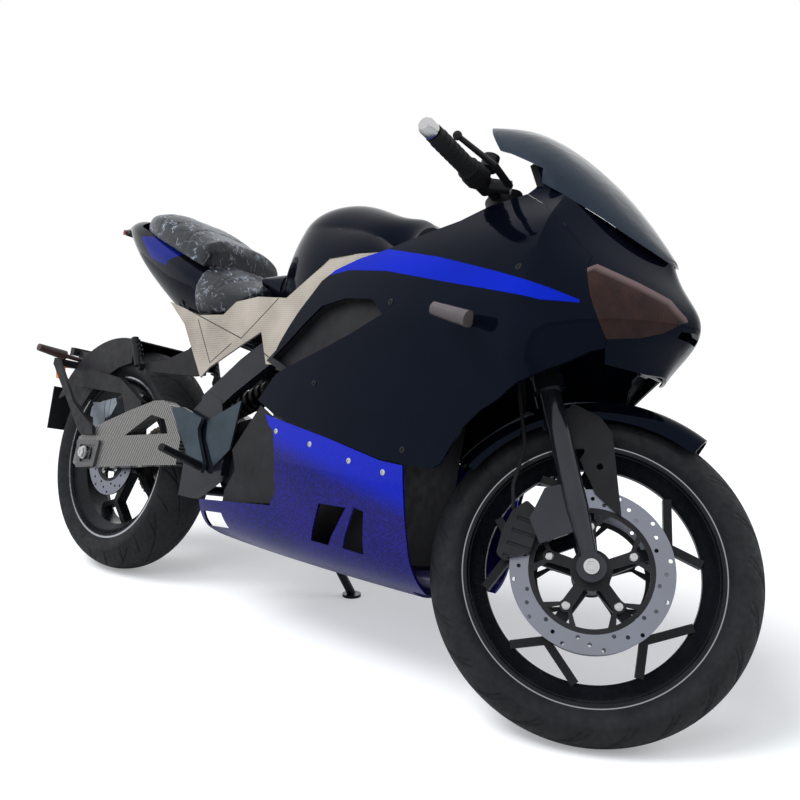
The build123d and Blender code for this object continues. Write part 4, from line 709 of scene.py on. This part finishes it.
def around(matrix, radius, place):
    """Five spots round an axle, on the face at y = place."""
    side = -1 if place < 0 else 1
    spots = []
    for k in range(5):
        angle = math.radians(72 * k - 30.5)
        at = Vector((radius * math.cos(angle), place, -radius * math.sin(angle)))
        spots.append((matrix @ at, matrix.to_3x3() @ Vector((0, side, 0))))
    return spots


def struck(node_name, points):
    """Where lines from both sides at side-view points first meet the node, and the way out there."""
    found = []
    mesh = frame["nodes"][node_name].data
    tree = BVHTree.FromPolygons([v.co for v in mesh.vertices], [tuple(f.vertices) for f in mesh.polygons])
    for x, z in points:
        for side in (-1, 1):
            start = upright @ Vector((x / 1000, side * 0.5, z / 1000))
            way = upright.to_3x3() @ Vector((0, -side, 0))
            hit, normal, _, _ = tree.ray_cast(start, way)
            if hit is not None:
                found.append((hit, -normal if normal.dot(way) > 0 else normal))
    return found


screw_set("front_carrier_bolts", "front_wheel", "bright_steel",
          around(front_wheel, 0.075, -0.0690) + around(front_wheel, 0.075, 0.0690),
          0.0078, 0.0042, 0.0030)
screw_set("rear_carrier_bolts", "rear_wheel", "bright_steel", around(rear_wheel, 0.050, -0.0700),
          0.0070, 0.0040, 0.0028)
screw_set("body_screws", "frame", "lever_black",
          struck("side_fairings", [(1079, 730), (1356, 794), (905, 560), (1160, 455)]),
          0.0062, 0.0022, 0.0024)
screw_set("belly_screws", "frame", "bright_steel",
          struck("belly_pan", [(807, 452), (917, 437), (1031, 418), (1120, 408)]),
          0.0058, 0.0022, 0.0023)
screw_set("front_axle_heads", "steering", "bright_steel", axle_ends("front_axle", front_wheel),
          0.0105, 0.006, 0.0072, hex_rings)
screw_set("rear_axle_heads", "frame", "bright_steel", axle_ends("rear_axle", rear_wheel),
          0.0170, 0.008, 0.0125, hex_rings)


# The chain's links, on the line round both sprockets

def chain_points():
    """The pins' places, one chain pitch apart, in upright x and z."""
    a, b = SPROCKET_LINE, MOTOR_SPROCKET_LINE
    across, height = MOTOR_SPROCKET_AT
    rise = height - REAR_RADIUS
    slope = math.atan2(rise, across)
    swing = math.acos((a - b) / math.hypot(across, rise))
    line = []
    for k in range(61):
        angle = slope + swing + (math.tau - 2 * swing) * k / 60
        line.append((a * math.cos(angle), REAR_RADIUS + a * math.sin(angle)))
    for k in range(31):
        angle = slope - swing + 2 * swing * k / 30
        line.append((across + b * math.cos(angle), height + b * math.sin(angle)))
    line.append(line[0])
    lengths = [math.dist(p, q) for p, q in zip(line, line[1:])]
    count = 2 * round(sum(lengths) / CHAIN_PITCH / 2)
    pins, run, index = [], 0.0, 0
    for k in range(count):
        goal = sum(lengths) * k / count
        while run + lengths[index] < goal:
            run += lengths[index]
            index += 1
        share = (goal - run) / lengths[index]
        (x0, z0), (x1, z1) = line[index], line[index + 1]
        pins.append((x0 + (x1 - x0) * share, z0 + (z1 - z0) * share))
    return pins


def link_outline(a, b, radius=0.0068, waist=0.0046):
    """A waisted plate round two pins, as points in x and z."""
    ax, az = (b[0] - a[0]), (b[1] - a[1])
    size = math.hypot(ax, az)
    ux, uz = ax / size, az / size
    shape = []
    for centre, start in ((size, -80), (0, 100)):
        for k in range(9):
            angle = math.radians(start + 20 * k)
            shape.append((centre + radius * math.cos(angle), radius * math.sin(angle)))
        shape.append((size / 2, waist if start < 0 else -waist))
    return [(a[0] + u * ux - v * uz, a[1] + u * uz + v * ux) for u, v in shape]


def disc_outline(centre, radius, steps):
    return [(centre[0] + radius * math.cos(math.tau * n / steps),
             centre[1] + radius * math.sin(math.tau * n / steps)) for n in range(steps)]


def chain_piece():
    """One piece for all the links: two plates, a roller and a pin to each."""
    pins = chain_points()
    mesh = bmesh.new()

    def plate(outline, y0, y1):
        rows = [[mesh.verts.new(upright @ Vector((x, y, z))) for x, z in outline] for y in (y0, y1)]
        count = len(outline)
        for k in range(count):
            n = (k + 1) % count
            mesh.faces.new((rows[0][k], rows[0][n], rows[1][n], rows[1][k]))
        mesh.faces.new(rows[0][::-1])
        mesh.faces.new(rows[1])

    for k, pin in enumerate(pins):
        ahead = pins[(k + 1) % len(pins)]
        outline = link_outline(pin, ahead)
        far = OUTER_LINK if k % 2 else INNER_LINK
        for side in (-1, 1):
            y0, y1 = sorted((CHAIN_Y + side * far, CHAIN_Y + side * (far + LINK_THICK)))
            plate(outline, y0, y1)
        plate(disc_outline(pin, ROLLER_RADIUS, 12), CHAIN_Y - 0.0041, CHAIN_Y + 0.0041)
        plate(disc_outline(pin, PIN_RADIUS, 10), CHAIN_Y - 0.0085, CHAIN_Y + 0.0085)
    made = bpy.data.meshes.new("chain_links")
    mesh.to_mesh(made)
    mesh.free()
    piece = new_piece("chain_links", made, "frame", "chain_steel", smooth=False)
    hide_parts("drive_chain")


chain_piece()


# Seats: padded covers, swollen a little under their stitching

def evaluated(piece):
    graph = bpy.context.evaluated_depsgraph_get()
    return bpy.data.meshes.new_from_object(piece.evaluated_get(graph))


def swollen(piece, cap):
    """Blows the pad up with a cloth simulation and returns how far each point moved, up to cap."""
    rest = [v.co.copy() for v in piece.data.vertices]
    cloth = piece.modifiers.new("swell", "CLOTH")
    cloth.settings.use_pressure = True
    cloth.settings.uniform_pressure_force = 4.0
    cloth.settings.effector_weights.gravity = 0.0
    cloth.settings.quality = 5
    cloth.point_cache.frame_start, cloth.point_cache.frame_end = 1, CLOTH_FRAMES
    for number in range(1, CLOTH_FRAMES + 1):
        bpy.context.scene.frame_set(number)
    graph = bpy.context.evaluated_depsgraph_get()
    shape = piece.evaluated_get(graph).to_mesh()
    moved = [v.co - r for v, r in zip(shape.vertices, rest)]
    piece.evaluated_get(graph).to_mesh_clear()
    piece.modifiers.remove(cloth)
    bpy.context.scene.frame_set(1)
    return [m if m.length < cap else m.normalized() * cap for m in moved]


def seat_piece(name, node_name, seams):
    """A padded seat: the node's form remeshed, swollen, creased at its seams and softly wrinkled."""
    source = frame["nodes"][node_name]
    mesh = source.data.copy()
    made = bpy.data.objects.new(name, mesh)
    bpy.context.scene.collection.objects.link(made)
    shaped = made.modifiers.new("voxels", "REMESH")
    shaped.mode = "VOXEL"
    shaped.voxel_size = SEAT_VOXEL
    relax = made.modifiers.new("relax", "SMOOTH")
    relax.iterations = 6
    relax.factor = 0.5
    fresh = evaluated(made)
    made.modifiers.clear()
    made.data = fresh
    moves = swollen(made, SWELL_CAP)
    back = upright.inverted()
    turn = upright.to_3x3().inverted()
    for vertex, move in zip(fresh.vertices, moves):
        normal = vertex.normal.copy()
        local = back @ vertex.co
        facing = (turn @ normal).z
        free = min(1.0, max(0.0, (facing + 0.15) / 0.5))
        vertex.co += move * free
        crease = 0.0
        for x, slant in seams:
            crease = max(crease, 1 - abs(local.x - x - slant * abs(local.y)) / SEAM_HALF)
        wrinkle = fractal.fractal(local * 34, 1.0, 2.1, 5) * WRINKLE_HEIGHT
        vertex.co += normal * free * (wrinkle - SEAM_DEPTH * max(0.0, crease))
    fresh.update()
    fresh.materials.clear()
    fresh.materials.append(MATERIALS["seat_vinyl"])
    for face in fresh.polygons:
        face.use_smooth = True
    made.modifiers.new("finer", "SUBSURF").levels = 1
    made.modifiers["finer"].render_levels = 1
    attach(made, "frame")
    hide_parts(node_name)


seat_piece("rider_cushion", "rider_seat", [(0.392, 0.25), (0.468, -0.2)])
seat_piece("pillion_cushion", "pillion_seat", [(0.075, 0.35), (0.235, 0.2)])


# Stage, light and camera

def make_stage():
    mesh = bpy.data.meshes.new("floor")
    size = 30.0
    corners = [(-size, -size, 0), (size, -size, 0), (size, size, 0), (-size, size, 0)]
    mesh.from_pydata(corners, [], [(0, 1, 2, 3)])
    floor = bpy.data.objects.new("floor", mesh)
    bpy.context.scene.collection.objects.link(floor)
    made, tree, shader = new_material("pale_floor")
    shader.inputs["Roughness"].default_value = 0.9
    shader.inputs["Specular IOR Level"].default_value = 0.1
    path = node(tree, "ShaderNodeLightPath")
    tone = mix_colour(tree, noise(tree, 2.0), (0.56, 0.56, 0.56), (0.58, 0.58, 0.58))
    seen = mix_colour(tree, noise(tree, 2.0), (0.80, 0.80, 0.80), (0.82, 0.82, 0.82))
    tone = mix_colour(tree, path.outputs["Is Camera Ray"], tone, seen)
    tree.links.new(tone, shader.inputs["Base Color"])
    shader.inputs["Emission Color"].default_value = (1.0, 1.0, 1.0, 1.0)
    glow = math_node(tree, "MAXIMUM", path.outputs["Is Camera Ray"], path.outputs["Is Transmission Ray"])
    tree.links.new(math_node(tree, "MULTIPLY", glow, 0.27), shader.inputs["Emission Strength"])
    mesh.materials.append(made)


def make_world():
    world = bpy.data.worlds.new("studio")
    bpy.context.scene.world = world
    world.use_nodes = True
    tree = world.node_tree
    tree.nodes.clear()
    out = tree.nodes.new("ShaderNodeOutputWorld")
    path = node(tree, "ShaderNodeLightPath")
    seen = math_node(tree, "MAXIMUM", path.outputs["Is Camera Ray"], path.outputs["Is Glossy Ray"])
    seen = math_node(tree, "MAXIMUM", seen, path.outputs["Is Transmission Ray"])
    light = node(tree, "ShaderNodeBackground", {"Color": (0.86, 0.92, 1.0, 1.0), "Strength": 0.36})
    white = node(tree, "ShaderNodeBackground", {"Color": (1.0, 1.0, 1.0, 1.0), "Strength": 1.0})
    both = node(tree, "ShaderNodeMixShader", {0: seen, 1: light.outputs[0], 2: white.outputs[0]})
    tree.links.new(both.outputs[0], out.inputs[0])


def area_light(name, at, aim, size, power, colour=(1, 1, 1)):
    data = bpy.data.lights.new(name, "AREA")
    data.shape = "SQUARE"
    data.size = size
    data.energy = power
    data.color = colour
    made = bpy.data.objects.new(name, data)
    bpy.context.scene.collection.objects.link(made)
    made.location = at
    made.rotation_mode = "QUATERNION"
    made.rotation_quaternion = (Vector(aim) - Vector(at)).to_track_quat("-Z", "Y")
    made.visible_glossy = False


def make_camera():
    data = bpy.data.cameras.new("camera")
    data.lens = CAMERA_LENS
    data.sensor_width = 36.0
    made = bpy.data.objects.new("camera", data)
    bpy.context.scene.collection.objects.link(made)
    look = (upright.to_3x3() @ CAMERA_LOOK).normalized()
    up = (upright.to_3x3() @ CAMERA_UP).normalized()
    right = look.cross(up).normalized()
    turn = Matrix((right, right.cross(look), -look)).transposed()
    made.matrix_world = Matrix.Translation(upright @ CAMERA_AT) @ turn.to_4x4()
    bpy.context.scene.camera = made


def soft_sun(name, way, strength, spread):
    """Even light from one side, which gives the shading but no bright disc in the paint."""
    data = bpy.data.lights.new(name, "SUN")
    data.energy = strength
    data.angle = math.radians(spread)
    made = bpy.data.objects.new(name, data)
    bpy.context.scene.collection.objects.link(made)
    made.rotation_mode = "QUATERNION"
    made.rotation_quaternion = Vector(way).to_track_quat("-Z", "Y")
    made.visible_glossy = False


make_stage()
make_world()
soft_sun("soft_sun", (0.35, 0.55, -1.0), 2.2, 30)
area_light("sky_box", (0.5, -4.5, 4.2), (0, 0, 0.4), 4.0, 170, (0.9, 0.95, 1.0))
area_light("fill_box", (4.5, 3.0, 3.4), (0, 0, 0.5), 3.5, 90)
make_camera()
bpy.context.scene.view_settings.view_transform = "Standard"
